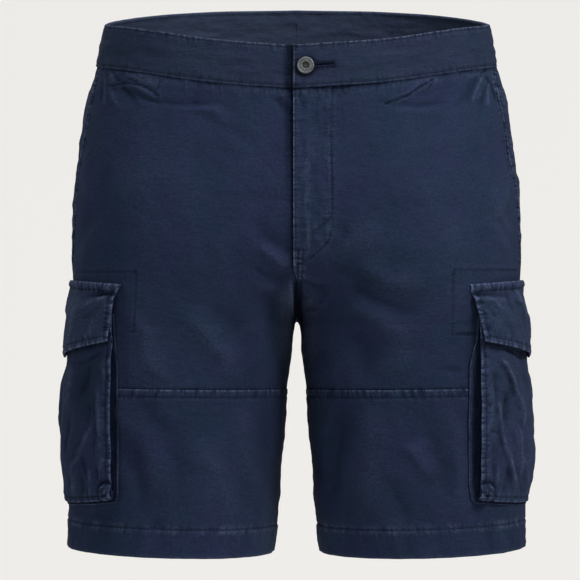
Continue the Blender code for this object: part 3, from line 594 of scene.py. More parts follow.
_quarter = np.linspace(0, 1, 400)
_tops = {}
for _face in ("front", "back"):
    _p, _ = place(_face, _quarter * float(length(_face, 0.0)), 0.0)
    _angle = np.degrees(np.arctan2(_p[:, 0] / float(SIZE["side"](0.0)), -_p[:, 1] / float(SIZE[_face](0.0))))
    _tops[_face] = TOP_Z(_angle)


def band_bottom(face, share):
    return np.interp(np.abs(share), _quarter, _tops[face]) - BAND_TALL


def thigh_z(share):
    return THIGH_Z - 4.0 * (1 - share) ** 2


def hem_z(x):
    return -454.8 + 5.2 * (x - 22.0) / 184.0


def thigh_lift(z):
    return 0.5 * np.exp(-((z - THIGH_Z) ** 2) / 400.0)


# -------------------------------------------------------------------- relief
def creases(rows, u, w, seed=0, narrow=1.0, peak=1.7, waver=0.35):
    """Height of a table of creases at points (u, w), and how near each point is to
    the crest of one and to the steep foot of one."""
    total, crest, foot = (np.zeros_like(u) for _ in range(3))
    for k, row in enumerate(rows):
        c = dict(zip(CREASE_COLUMNS, row))
        start = np.array((c["u0"], c["w0"]))
        run = np.array((c["u1"], c["w1"])) - start
        full = math.hypot(*run)
        run /= full
        du, dw = u - start[0], w - start[1]
        t = (du * run[0] + dw * run[1]) / full
        t_in = np.clip(t, 0, 1)
        side = dw * run[0] - du * run[1] - c["bow"] * 4 * t_in * (1 - t_in)
        side = side + waver * c["half_width"] * noise(np.stack([t * full / 16, np.full_like(t, k), side * 0.02], -1), seed)
        width = narrow * c["half_width"] * (1 + 0.25 * noise(np.stack([t * full / 22, np.full_like(t, k + 9.5), side * 0.0], -1), seed))
        width = width * np.where(side < 0, 1 - 0.45 * c["lean"], 1 + 0.45 * c["lean"])
        ends = smoothstep(t, -0.12, 0.3) * (1 - smoothstep(t, 0.7, 1.12))
        total += c["height"] * ends * np.exp(-np.abs(side / width) ** peak)
        broken = noise(np.stack([t * full / 8.0, np.full_like(t, k + 3.3), side / 5.0], -1), seed + 2)
        strength = min((abs(c["height"]) / 2.1) ** 1.7, 1.5) * ends * np.clip(0.75 + 1.4 * broken, 0.12, 1.3)
        if c["height"] > 0:
            steep = -1.0 if c["lean"] >= 0 else 1.0
            crest += strength * bell(side + 0.25 * steep * width, 1.05)
            foot += strength * bell(side - 1.35 * steep * width, 1.5)
        else:
            foot += strength * bell(side, 1.5)
    return total, crest, foot


def solid_folds(face, side, x, z):
    total = np.zeros_like(x)
    for row in FOLDS:
        f = dict(zip(FOLD_COLUMNS, row))
        if (f["face"], f["side"]) != (face, side):
            continue
        start, end = np.array((f["x0"], f["z0"])), np.array((f["x1"], f["z1"]))
        run = end - start
        du, dw = x - start[0], z - start[1]
        share = (du * run[0] + dw * run[1]) / (run @ run)
        off = np.hypot(du - share * run[0], dw - share * run[1])
        ends = smoothstep(share, -0.25, 0.3) * (1 - smoothstep(share, 0.7, 1.25))
        total += f["height"] * ends * bell(off, f["half_width"])
    return total


def drift(p, seed=0):
    """Slow unevenness of worn cloth, with no direction of its own."""
    return (
        0.9 * noise(p / (95.0, 95.0, 120.0), seed)
        + 0.42 * noise(p / (38.0, 38.0, 46.0), seed + 1)
        + 0.16 * noise(p / (15.0, 15.0, 13.0), seed + 2)
        + 0.05 * noise(p / (6.0, 6.0, 5.0), seed + 3)
    )


def seen_from(p, sx, face):
    """u and w of points (x to the wearer's left) as seen from in front or behind."""
    depth = p[..., 1] if face == "front" else -p[..., 1]
    k = EYE / (EYE + depth)
    return sx * p[..., 0] * k, (p[..., 2] + 220.0) * k


# -------------------------------------------------------------- mesh building
LOOKS = {}


def positions(total, fine=0.9, coarse=2.9, start_round=True, end_round=True, grow=1.16):
    """Distances from one edge to the other: close together at both edges."""

    def edge(rounded):
        at = [0.0, 0.1, 0.28, 0.55, 0.95] if rounded else [0.0, fine]
        step = fine * 0.6 if rounded else fine
        while step < coarse and at[-1] < total * 0.46:
            at.append(at[-1] + step)
            step *= grow
        return at

    head, tail = edge(start_round), edge(end_round)
    while head[-1] > total / 2:
        head.pop()
    while tail[-1] > total / 2:
        tail.pop()
    gap = total - head[-1] - tail[-1]
    count = max(int(round(gap / coarse)), 1)
    middle = [head[-1] + gap * i / count for i in range(1, count)]
    return np.array(head + middle + [total - t for t in reversed(tail)])


def shell(name, outer, inner, side, slot, closed_edges=True, missing=None, attrs=None, uv=None):
    """A closed mesh from an outer and an inner grid of points, in mm. Cells in
    missing are left open, with walls round them."""
    rows, cols = outer.shape[:2]
    count = rows * cols
    keep = np.ones((rows - 1, cols - 1), bool)
    if missing is not None:
        keep &= ~missing
    i, j = np.nonzero(keep)
    quad = np.stack([i * cols + j, i * cols + j + 1, (i + 1) * cols + j + 1, (i + 1) * cols + j], 1)
    faces = [quad, quad[:, ::-1] + count]
    padded = np.pad(keep, 1)
    for di, dj, p, q in ((-1, 0, 0, 1), (0, 1, 1, 2), (1, 0, 2, 3), (0, -1, 3, 0)):
        open_there = ~padded[i + 1 + di, j + 1 + dj]
        rim = quad[open_there]
        faces.append(np.stack([rim[:, q], rim[:, p], rim[:, p] + count, rim[:, q] + count], 1))
    faces = np.concatenate(faces)
    points = np.concatenate([outer.reshape(-1, 3), inner.reshape(-1, 3)]) * 0.001
    if side == "right":
        points[:, 0] *= -1
    # Points that fall together at a rounded edge are one point.
    if closed_edges:
        twin = near(points[:count] - points[count:]) < 1e-7
        index = np.arange(2 * count)
        index[count:][twin] = index[:count][twin]
        faces = index[faces]
    used = np.unique(faces)
    new = np.full(2 * count, -1)
    new[used] = np.arange(len(used))
    faces = new[faces]
    points = points[used]
    whole, tri = [], []
    same = [(faces[:, k] == faces[:, (k + 1) % 4]) for k in range(4)]
    any_same = same[0] | same[1] | same[2] | same[3]
    quads = faces[~any_same]
    for f in faces[any_same]:
        ring = [v for k, v in enumerate(f) if v != f[(k + 1) % 4]]
        if len(set(ring)) >= 3:
            tri.append(ring)
    # Outward faces.
    a, b, c, d = (points[quads[:, k]] for k in range(4))
    volume = (a * np.cross(b, c)).sum() + (a * np.cross(c, d)).sum()
    for ring in tri:
        volume += float(points[ring[0]] @ np.cross(points[ring[1]], points[ring[2]]))
    if volume < 0:
        quads = quads[:, ::-1]
        tri = [ring[::-1] for ring in tri]
    sizes = np.concatenate([np.full(len(quads), 4), [len(r) for r in tri]]).astype(int)
    loops = np.concatenate([quads.reshape(-1), np.array([v for r in tri for v in r], int)]).astype(np.int32)
    mesh = bpy.data.meshes.new(name)
    mesh.vertices.add(len(points))
    mesh.vertices.foreach_set("co", points.astype(np.float32).reshape(-1))
    mesh.loops.add(len(loops))
    mesh.loops.foreach_set("vertex_index", loops)
    mesh.polygons.add(len(sizes))
    mesh.polygons.foreach_set("loop_start", np.concatenate([[0], np.cumsum(sizes)[:-1]]).astype(np.int32))
    mesh.update(calc_edges=True)
    mesh.shade_smooth()
    for key, values in (attrs or {}).items():
        layer = mesh.attributes.new(key, "FLOAT", "POINT")
        both = np.concatenate([values.reshape(-1), values.reshape(-1) * 0.5])[used]
        layer.data.foreach_set("value", both.astype(np.float32))
    layer = mesh.attributes.new("inside", "FLOAT", "POINT")
    layer.data.foreach_set("value", (used >= count).astype(np.float32))
    if uv is not None:
        flat = np.concatenate([uv.reshape(-1, 2), uv.reshape(-1, 2)])[used]
        layer = mesh.uv_layers.new(name="cloth")
        layer.data.foreach_set("uv", flat[loops].astype(np.float32).reshape(-1))
    made = bpy.data.objects.new(name, mesh)
    bpy.context.scene.collection.objects.link(made)
    if slot in LOOKS:
        mesh.materials.append(LOOKS[slot])
    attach(made, "root")
    return made


def edge_round(distances, radius):
    """1 inside the piece, falling to 0 at its edges as a half round does."""
    f = np.ones_like(distances[0])
    for d in distances:
        t = np.clip(d / radius, 0, 1)
        f = f * np.sqrt(np.maximum(1 - (1 - t) ** 2, 0.0))
    return f


def two_layers(p, n, height, thick, f, inner_height=None):
    """Outer and inner points about the middle of the cloth, rounded at the edges."""
    middle = height - thick / 2
    outer = p + n * (middle + thick / 2 * f)[..., None]
    inner_middle = middle if inner_height is None else inner_height - thick / 2
    inner_at = np.where(f <= 1e-9, middle, inner_middle - thick / 2 * f)
    return outer, p + n * inner_at[..., None]


# Stitches are gathered by piece and made as one mesh each.
THREADS = {}


def stitches(owner, side, points, outs, pitch=3.2, gap=0.75, width=0.62, tall=0.42, lift=0.08, shift=0.0):
    """A row of stitches along a run of points, each a small capsule."""
    points, outs = np.asarray(points, float), np.asarray(outs, float)
    run = np.append(0, np.cumsum(near(np.diff(points, axis=0))))
    count = max(int(run[-1] / pitch), 1)
    step = run[-1] / count
    rings = np.array((0.0, 0.22, 0.78, 1.0))
    fat = np.array((0.25, 1.0, 1.0, 0.25))
    up = np.array((-0.55, 0.25, 0.25, -0.55))
    starts = np.arange(count) * step + shift
    at = starts[:, None] + gap / 2 + rings[None, :] * (step - gap)
    centre = np.stack([np.interp(at, run, points[:, k]) for k in range(3)], -1)
    out = unit(np.stack([np.interp(at, run, outs[:, k]) for k in range(3)], -1))
    along = unit(centre[:, -1] - centre[:, 0])[:, None, :]
    across = unit(np.cross(out, np.broadcast_to(along, out.shape)))
    sides = 5
    turn = np.arange(sides) * 2 * math.pi / sides + 0.3
    ring = (
        centre[:, :, None, :]
        + out[:, :, None, :] * ((lift + tall / 2 * up)[None, :, None, None] + (tall / 2 * fat)[None, :, None, None] * np.sin(turn)[None, None, :, None])
        + across[:, :, None, :] * ((width / 2 * fat)[None, :, None, None] * np.cos(turn)[None, None, :, None])
    )
    THREADS.setdefault((owner, side), []).append(ring)


def make_threads():
    made = {}
    for (owner, side), groups in THREADS.items():
        rings = np.concatenate(groups)
        n, r, s = rings.shape[:3]
        points = rings.reshape(-1, 3) * 0.001
        if side == "right":
            points[:, 0] *= -1
        base = (np.arange(n) * r * s)[:, None]
        quads = []
        for k in range(r - 1):
            for m in range(s):
                o = (m + 1) % s
                quads.append(base + np.array([[k * s + m, k * s + o, (k + 1) * s + o, (k + 1) * s + m]]))
        quads = np.concatenate(quads)
        caps = np.concatenate([
            base + np.arange(s)[None, ::-1],
            base + (r - 1) * s + np.arange(s)[None, :],
        ])  # fmt: skip
        if side == "right":
            quads, caps = quads[:, ::-1], caps[:, ::-1]
        sizes = np.concatenate([np.full(len(quads), 4), np.full(len(caps), s)]).astype(int)
        loops = np.concatenate([quads.reshape(-1), caps.reshape(-1)]).astype(np.int32)
        name = f"stitches_{owner}"
        mesh = bpy.data.meshes.new(name)
        mesh.vertices.add(len(points))
        mesh.vertices.foreach_set("co", points.astype(np.float32).reshape(-1))
        mesh.loops.add(len(loops))
        mesh.loops.foreach_set("vertex_index", loops)
        mesh.polygons.add(len(sizes))
        mesh.polygons.foreach_set("loop_start", np.concatenate([[0], np.cumsum(sizes)[:-1]]).astype(np.int32))
        mesh.update(calc_edges=True)
        mesh.shade_smooth()
        # One normal direction for all: outwards.
        obj = bpy.data.objects.new(name, mesh)
        bpy.context.scene.collection.objects.link(obj)
        mesh.materials.append(LOOKS["thread"])
        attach(obj, "root")
        made[owner] = obj
    return made


# ------------------------------------------------------------------ materials
def node_maker(tree):
    def make(kind, place_at=(0, 0), **values):
        node = tree.nodes.new(kind)
        node.location = place_at
        for key, value in values.items():
            if key.startswith("in_"):
                node.inputs[key[3:].replace("_", " ")].default_value = value
            else:
                setattr(node, key, value)
        return node

    return make


def stretched_noise(tree, make, uv, scale, detail=3.0, rough=0.6, turn=0.0):
    """Noise read at UV in mm, with its own scale along and across the cloth."""
    mapping = make("ShaderNodeMapping")
    mapping.inputs["Scale"].default_value = (scale[0] * 100, scale[1] * 100, 1.0)
    mapping.inputs["Rotation"].default_value = (0, 0, turn)
    tree.links.new(uv, mapping.inputs["Vector"])
    made = make("ShaderNodeTexNoise", in_Scale=1.0, in_Detail=detail, in_Roughness=rough)
    tree.links.new(mapping.outputs["Vector"], made.inputs["Vector"])
    return made.outputs["Fac"]


def add_up(tree, make, parts):
    """Sum of (socket, factor) pairs."""
    total = None
    for socket, factor in parts:
        times = make("ShaderNodeMath", operation="MULTIPLY")
        tree.links.new(socket, times.inputs[0])
        times.inputs[1].default_value = factor
        if total is None:
            total = times.outputs[0]
        else:
            plus = make("ShaderNodeMath", operation="ADD")
            tree.links.new(total, plus.inputs[0])
            tree.links.new(times.outputs[0], plus.inputs[1])
            total = plus.outputs[0]
    return total


def ramp(tree, make, socket, stops):
    made = make("ShaderNodeValToRGB")
    band = made.color_ramp
    while len(band.elements) < len(stops):
        band.elements.new(0.5)
    for element, (at, colour) in zip(band.elements, stops):
        element.position = at
        element.color = (*colour, 1.0) if len(colour) == 3 else colour
    tree.links.new(socket, made.inputs["Fac"])
    return made.outputs["Color"]


def blend_colours(tree, make, factor, low, high):
    made = make("ShaderNodeMix", data_type="RGBA")
    tree.links.new(factor, made.inputs[0])
    for socket, value in ((made.inputs[6], low), (made.inputs[7], high)):
        if isinstance(value, tuple):
            socket.default_value = (*value, 1.0)
        else:
            tree.links.new(value, socket)
    return made.outputs[2]


def cloth_look(name, deep, plain, pale, faded_and_lit, weave=0.72):
    """Worn-in slubby plain weave: thick and thin threads, paler edges and ridges where
    the paling attribute says so, which is rubbed wear and painted highlight, painted shade
    where dark says so, and fine puckers along seams, across for level ones (gather_h)
    and level for upright ones (gather_v), with painted light and shade on their swells and hollows."""
    look = bpy.data.materials.new(name)
    look.use_nodes = True
    tree = look.node_tree
    make = node_maker(tree)
    shader = tree.nodes["Principled BSDF"]
    uv = make("ShaderNodeUVMap", uv_map="cloth").outputs["UV"]

    def mark(key):
        return make("ShaderNodeAttribute", attribute_type="GEOMETRY", attribute_name=key).outputs["Fac"]

    def math_of(kind, a, b, clamp=False):
        made = make("ShaderNodeMath", operation=kind, use_clamp=clamp)
        for socket, value in zip(made.inputs, (a, b)):
            if isinstance(value, (int, float)):
                socket.default_value = value
            else:
                tree.links.new(value, socket)
        return made.outputs[0]

    weft = stretched_noise(tree, make, uv, (0.10, 1.05), 3.0, 0.62)
    weft_fine = stretched_noise(tree, make, uv, (0.33, 1.9), 2.0, 0.6)
    warp = stretched_noise(tree, make, uv, (1.15, 0.085), 2.0, 0.55)
    fleck = stretched_noise(tree, make, uv, (0.40, 0.46), 3.0, 0.72)
    cloud = stretched_noise(tree, make, uv, (0.028, 0.022), 3.0, 0.55)
    rumple = stretched_noise(tree, make, uv, (0.085, 0.11), 3.0, 0.6)
    across = stretched_noise(tree, make, uv, (0.27, 0.06), 2.0, 0.6)
    level = stretched_noise(tree, make, uv, (0.06, 0.27), 2.0, 0.6)
    gathers = (
        math_of("MULTIPLY", mark("gather_h"), math_of("SUBTRACT", across, 0.5)),
        math_of("MULTIPLY", mark("gather_v"), math_of("SUBTRACT", level, 0.5)),
    )
    pulls = math_of("ADD", *gathers)
    tone = add_up(tree, make, ((weft, 0.25), (weft_fine, 0.16), (warp, 0.13), (fleck, 0.32), (cloud, 0.14)))
    # Painted light and shade on the puckers: paler on their swells and deeper in their hollows.
    tone = math_of("ADD", tone, math_of("MULTIPLY", pulls, 0.45))
    base = ramp(tree, make, tone, ((0.37, deep), (0.5, plain), (0.63, pale)))
    # Uneven dye: a touch more violet in places and more green in others.
    tint = stretched_noise(tree, make, uv, (0.016, 0.013), 4.0, 0.62)
    tinted = ramp(tree, make, tint, ((0.40, (1.0, 0.925, 0.985)), (0.5, (0.955, 0.965, 0.965)), (0.60, (0.885, 0.995, 0.935))))
    dyed = make("ShaderNodeMix", data_type="RGBA", blend_type="MULTIPLY")
    dyed.inputs[0].default_value = 1.0
    tree.links.new(base, dyed.inputs[6])
    tree.links.new(tinted, dyed.inputs[7])
    base = dyed.outputs[2]
    # The wrong side of the cloth is paler: partly its own tone, partly painted light that lifts the shade inside the
    # garment.
    base = blend_colours(tree, make, math_of("MULTIPLY", mark("inside"), 0.20), base, faded_and_lit)
    # Rubbed edges and ridges, with painted highlights on ridges and puckers.
    rub = add_up(tree, make, ((fleck, 0.8), (weft_fine, 0.6), (pulls, 2.2)))
    gate = make("ShaderNodeMapRange", interpolation_type="SMOOTHSTEP")
    tree.links.new(rub, gate.inputs["Value"])
    gate.inputs["From Min"].default_value = 0.5
    gate.inputs["From Max"].default_value = 0.95
    gate.inputs["To Min"].default_value = 0.12
    gate.inputs["To Max"].default_value = 1.0
    rubbed = math_of("MULTIPLY", mark("wear"), gate.outputs["Result"], True)
    colour = blend_colours(tree, make, rubbed, base, faded_and_lit)
    # Painted shade: deeper colour where dark says so and in the puckers' hollows.
    hollows = math_of("MULTIPLY", math_of("SUBTRACT", -0.03, pulls), 3.2, True)
    sunk = math_of("ADD", math_of("MULTIPLY", mark("dark"), 0.9), math_of("MULTIPLY", hollows, 0.75), True)
    colour = blend_colours(tree, make, sunk, colour, tuple(0.42 * c for c in deep))
    tree.links.new(colour, shader.inputs["Base Color"])
    rough = add_up(tree, make, ((fleck, 0.16), (weft, 0.1)))
    tree.links.new(math_of("ADD", rough, 0.76), shader.inputs["Roughness"])
    shader.inputs["Specular IOR Level"].default_value = 0.015
    shader.inputs["Sheen Weight"].default_value = 0.008
    shader.inputs["Sheen Roughness"].default_value = 0.45
    shader.inputs["Sheen Tint"].default_value = (0.62, 0.70, 0.85, 1.0)
    # The threads themselves: a plain weave with uneven yarn.
    bends = make("ShaderNodeMapping")
    bends.inputs["Scale"].default_value = (100.0, 100.0, 1.0)
    tree.links.new(uv, bends.inputs["Vector"])
    waves = []
    for direction in ("X", "Y"):
        wave = make("ShaderNodeTexWave", wave_type="BANDS", bands_direction=direction, wave_profile="SIN")
        wave.inputs["Scale"].default_value = 2 * math.pi / (20.0 * weave)
        wave.inputs["Distortion"].default_value = 1.6
        wave.inputs["Detail"].default_value = 1.0
        wave.inputs["Detail Scale"].default_value = 0.5
        tree.links.new(bends.outputs["Vector"], wave.inputs["Vector"])
        waves.append(wave.outputs["Fac"])
    # Heights in mm.
    height = add_up(tree, make, (
        (waves[0], 0.05), (waves[1], 0.07), (weft, 0.17), (warp, 0.09), (fleck, 0.13), (rumple, 1.25), (pulls, 2.8)
    ))  # fmt: skip
    bump = make("ShaderNodeBump")
    bump.inputs["Strength"].default_value = 1.0
    bump.inputs["Distance"].default_value = 0.001
    tree.links.new(height, bump.inputs["Height"])
    tree.links.new(bump.outputs["Normal"], shader.inputs["Normal"])
    return look


def thread_look(name, dark, light):
    look = bpy.data.materials.new(name)
    look.use_nodes = True
    tree = look.node_tree
    make = node_maker(tree)
    shader = tree.nodes["Principled BSDF"]
    at = make("ShaderNodeTexCoord").outputs["Object"]
    grain = make("ShaderNodeTexNoise", in_Scale=420.0, in_Detail=2.0)
    tree.links.new(at, grain.inputs["Vector"])
    colour = ramp(tree, make, grain.outputs["Fac"], ((0.36, dark), (0.64, light)))
    tree.links.new(colour, shader.inputs["Base Color"])
    twist = make("ShaderNodeTexNoise", in_Scale=2600.0, in_Detail=1.0)
    tree.links.new(at, twist.inputs["Vector"])
    bump = make("ShaderNodeBump")
    bump.inputs["Strength"].default_value = 0.5
    bump.inputs["Distance"].default_value = 0.0001
    tree.links.new(twist.outputs["Fac"], bump.inputs["Height"])
    tree.links.new(bump.outputs["Normal"], shader.inputs["Normal"])
    shader.inputs["Roughness"].default_value = 0.8
    shader.inputs["Specular IOR Level"].default_value = 0.12
    shader.inputs["Sheen Weight"].default_value = 0.01
    return look


def metal_look(name):
    """Antiqued gunmetal: dark in its hollows, rubbed bright on its rim."""
    look = bpy.data.materials.new(name)
    look.use_nodes = True
    tree = look.node_tree
    make = node_maker(tree)
    shader = tree.nodes["Principled BSDF"]
    at = make("ShaderNodeTexCoord").outputs["Object"]
    stain = make("ShaderNodeTexNoise", in_Scale=520.0, in_Detail=4.0, in_Roughness=0.65)
    tree.links.new(at, stain.inputs["Vector"])
    worn = make("ShaderNodeAttribute", attribute_type="GEOMETRY", attribute_name="wear").outputs["Fac"]
    old = ramp(tree, make, stain.outputs["Fac"], ((0.35, (0.011, 0.012, 0.012)), (0.65, (0.028, 0.030, 0.029))))
    bright = ramp(tree, make, stain.outputs["Fac"], ((0.35, (0.088, 0.095, 0.098)), (0.6, (0.172, 0.181, 0.184))))
    colour = blend_colours(tree, make, worn, old, bright)
    tree.links.new(colour, shader.inputs["Base Color"])
    shader.inputs["Metallic"].default_value = 0.8
    rough = make("ShaderNodeMapRange")
    tree.links.new(stain.outputs["Fac"], rough.inputs["Value"])
    rough.inputs["To Min"].default_value = 0.38
    rough.inputs["To Max"].default_value = 0.62
    tree.links.new(rough.outputs["Result"], shader.inputs["Roughness"])
    bump = make("ShaderNodeBump")
    bump.inputs["Strength"].default_value = 0.25
    bump.inputs["Distance"].default_value = 0.00012
    tree.links.new(stain.outputs["Fac"], bump.inputs["Height"])
    tree.links.new(bump.outputs["Normal"], shader.inputs["Normal"])
    return look


# Each cloth: deep, plain and pale tones, and the colour it pales to for rubbed wear and painted highlights.
LOOKS["body"] = cloth_look(
    "navy_cotton_weave", (0.0117, 0.0183, 0.0428), (0.0182, 0.0271, 0.0586), (0.0265, 0.0378, 0.0768), (0.079, 0.102, 0.166)
)
LOOKS["band"] = cloth_look(
    "navy_cotton_band_weave", (0.0127, 0.0188, 0.0400), (0.0195, 0.0276, 0.0545), (0.0281, 0.0384, 0.0714), (0.084, 0.104, 0.160)
)
LOOKS["pocket"] = cloth_look(
    "navy_cotton_pocket_weave", (0.0123, 0.0192, 0.0448), (0.0193, 0.0286, 0.0616), (0.0284, 0.0402, 0.0818), (0.085, 0.109, 0.186)
)
LOOKS["thread"] = thread_look("navy_thread", (0.0035, 0.0065, 0.020), (0.010, 0.017, 0.045))
LOOKS["metal"] = metal_look("gunmetal_worn")


# -------------------------------------------------------------- panel surface
def around(face, a, z):
    """place, carried on past the side seam and, below the crotch, past the inseam."""
    a, z = np.broadcast_arrays(np.asarray(a, float), np.asarray(z, float))
    full = length(face, z)
    other = "back" if face == "front" else "front"
    p, n = place(face, np.minimum(a, full), z)
    po, no = place(other, np.maximum(length(other, z) - np.maximum(a - full, 0), 0), z)
    pu, nu = place(other, np.maximum(-a, 0), z)
    past = (a > full)[..., None]
    under = ((a < 0) & (z < CROTCH_Z))[..., None]
    p = np.where(past, po, np.where(under, pu, p))
    n = np.where(past, no, np.where(under, nu, n))
    return p, n


def to_line(u, w, line):
    """Distance from points to a line through several points."""
    best = np.full(u.shape, 1e9)
    for (u0, w0), (u1, w1) in zip(line[:-1], line[1:]):
        du, dw = u1 - u0, w1 - w0
        t = np.clip(((u - u0) * du + (w - w0) * dw) / (du * du + dw * dw), 0, 1)
        best = np.minimum(best, np.hypot(u - u0 - t * du, w - w0 - t * dw))
    return best


# Stitched lines of the fronts, in u and w as the creases are. Each front has its own.
FLY_LINE = (
    (31.0, 181.0), (31.3, 171.0), (31.4, 126.0), (31.3, 66.0), (31.0, 54.0), (29.6, 47.5),
    (27.0, 42.5), (23.2, 38.4), (18.6, 35.0), (12.6, 29.6), (6.0, 26.0), (0.0, 24.4),
)  # fmt: skip
FLY_TACK = ((13.4, 52.0), (28.6, 65.0))
FLY_END = ((-3.0, 36.6), (9.6, 36.8))
RISE_ROWS = (0.9, 4.7)
SHORT_LINES = {
    "right": (((-168.4, 183.4), (-158.7, 185.8), (-155.0, 186.6), (-146.9, 186.0), (-140.0, 184.0), (-133.2, 181.2), (-125.6, 175.6)),),
    "left": (((121.8, 189.4), (116.0, 186.0), (110.5, 183.2), (100.0, 175.6), (80.0, 168.3)),),
}
SHORT_TACKS = {
    "right": (((-129.0, 176.5), (-122.5, 188.5)),),
    "left": (((123.0, 188.0), (117.0, 180.5)),),
}
# Short strokes of pulled cloth, raised with painted highlight above zero and sunk with painted shade below it: ends in
# u and w, half width, strength.
STROKES = {
    "right": (
        (-153.9, 195.4, -138.7, 188.0, 1.3, 0.50), (-152.5, 191.0, -145.0, 187.9, 1.2, -0.45),
        (-171.4, 194.5, -168.0, 184.0, 1.3, -0.60), (-164.4, 195.0, -161.2, 189.8, 1.2, -0.40),
        (-167.9, 196.0, -165.0, 188.0, 1.2, 0.40), (-166.0, 187.6, -158.7, 188.2, 1.3, -0.40),
        (-156.0, 181.4, -151.6, 178.0, 1.1, -0.40), (-151.6, 178.0, -146.6, 172.6, 1.1, -0.36),
        (-167.7, 180.6, -156.0, 181.6, 1.7, -0.45), (-143.0, 181.4, -130.3, 175.8, 1.3, 0.26),
        (-140.0, 192.8, -129.0, 185.4, 2.6, 0.30), (-174.8, 186.0, -176.6, 172.0, 1.2, -0.50),
        (-171.6, 183.0, -173.4, 168.0, 1.2, 0.40),
    ),
    "left": (
        (165.8, 190.4, 161.8, 181.2, 0.9, 0.66), (161.8, 181.2, 158.0, 172.0, 0.9, 0.44),
        (161.6, 189.6, 154.6, 172.0, 2.2, -0.42), (165.4, 195.0, 169.4, 198.0, 1.4, -0.75),
        (170.3, 191.0, 172.8, 187.0, 1.5, -0.85), (172.4, 185.6, 170.8, 167.0, 0.9, 0.45),
        (175.3, 189.6, 181.0, 175.6, 1.0, 0.62), (174.4, 184.8, 178.6, 173.0, 1.1, -0.60),
        (155.6, 192.0, 165.2, 194.8, 1.2, 0.40), (167.0, 183.0, 166.0, 170.0, 1.3, -0.45),
        (178.0, 178.0, 182.6, 166.0, 1.2, -0.40),
    ),
}
PATCHES = {"right": ((-170.0, 181.0), (-128.0, 200.0)), "left": ((96.0, 178.0), (124.0, 200.0))}
BOX_LINES = {
    "right": ((-197.0, 17.0), (-146.5, 17.2), (-144.8, 15.0), (-145.6, -37.0), (-160.0, -38.2)),
    "left": ((197.0, 17.6), (141.5, 17.8), (139.8, 15.4), (139.9, -38.6), (160.0, -39.8)),
}
# The row of stitches that holds the side pocket's facing: distance from the side
# seam, by height.
MOUTH_INSET = {
    "left": ((-20.0, 31.0), (-40.0, 38.0), (-60.0, 40.0), (-90.0, 39.5), (-130.0, 38.0), (-160.0, 36.0), (-205.0, 32.0)),
    "right": ((-20.0, 24.0), (-40.0, 31.0), (-60.0, 33.5), (-90.0, 34.0), (-130.0, 33.0), (-160.0, 31.0), (-205.0, 27.0)),
}
MOUTH_FROM, MOUTH_TO = -30.0, -186.0  # the mouth, down the side seam
INSET = {side: smooth_through([r[0] for r in rows], [r[1] for r in rows]) for side, rows in MOUTH_INSET.items()}


def mouth(z):
    return smoothstep(-z, -MOUTH_FROM - 3, -MOUTH_FROM + 16) * (1 - smoothstep(-z, -MOUTH_TO - 18, -MOUTH_TO + 2))


class Relief:
    """Height over the plain surface and the cloth's marks, gathered up at points."""

    def __init__(self, shape):
        self.height = np.zeros(shape)
        self.marks = {key: np.zeros(shape) for key in ("wear", "dark", "gather_h", "gather_v")}

    def add(self, height=0.0, **marks):
        self.height = self.height + height
        for key, value in marks.items():
            self.marks[key] = self.marks[key] + value

    def seam(self, d, depth=0.35, gather="gather_h", pull=0.6, wide=4.0, on=1.0, swell=0.3, dark=0.42, wear=0.16):
        """A stitched line at distance d: a groove between two puckered swells, with painted shade in the groove and
        paling on the swells that is rubbed wear and painted highlight.
        """
        self.add(on * (-depth * bell(d, 1.0) + swell * (bell(d - 2.6, 1.9) + bell(d + 2.6, 1.9))))
        self.add(dark=on * dark * bell(d, 0.8), wear=on * wear * (bell(d - 2.2, 1.2) + bell(d + 2.2, 1.2)))
        self.add(**{gather: on * pull * bell(d, wide)})

    def done(self):
        return self.height, {key: np.clip(value, 0, 1.2) for key, value in self.marks.items()}


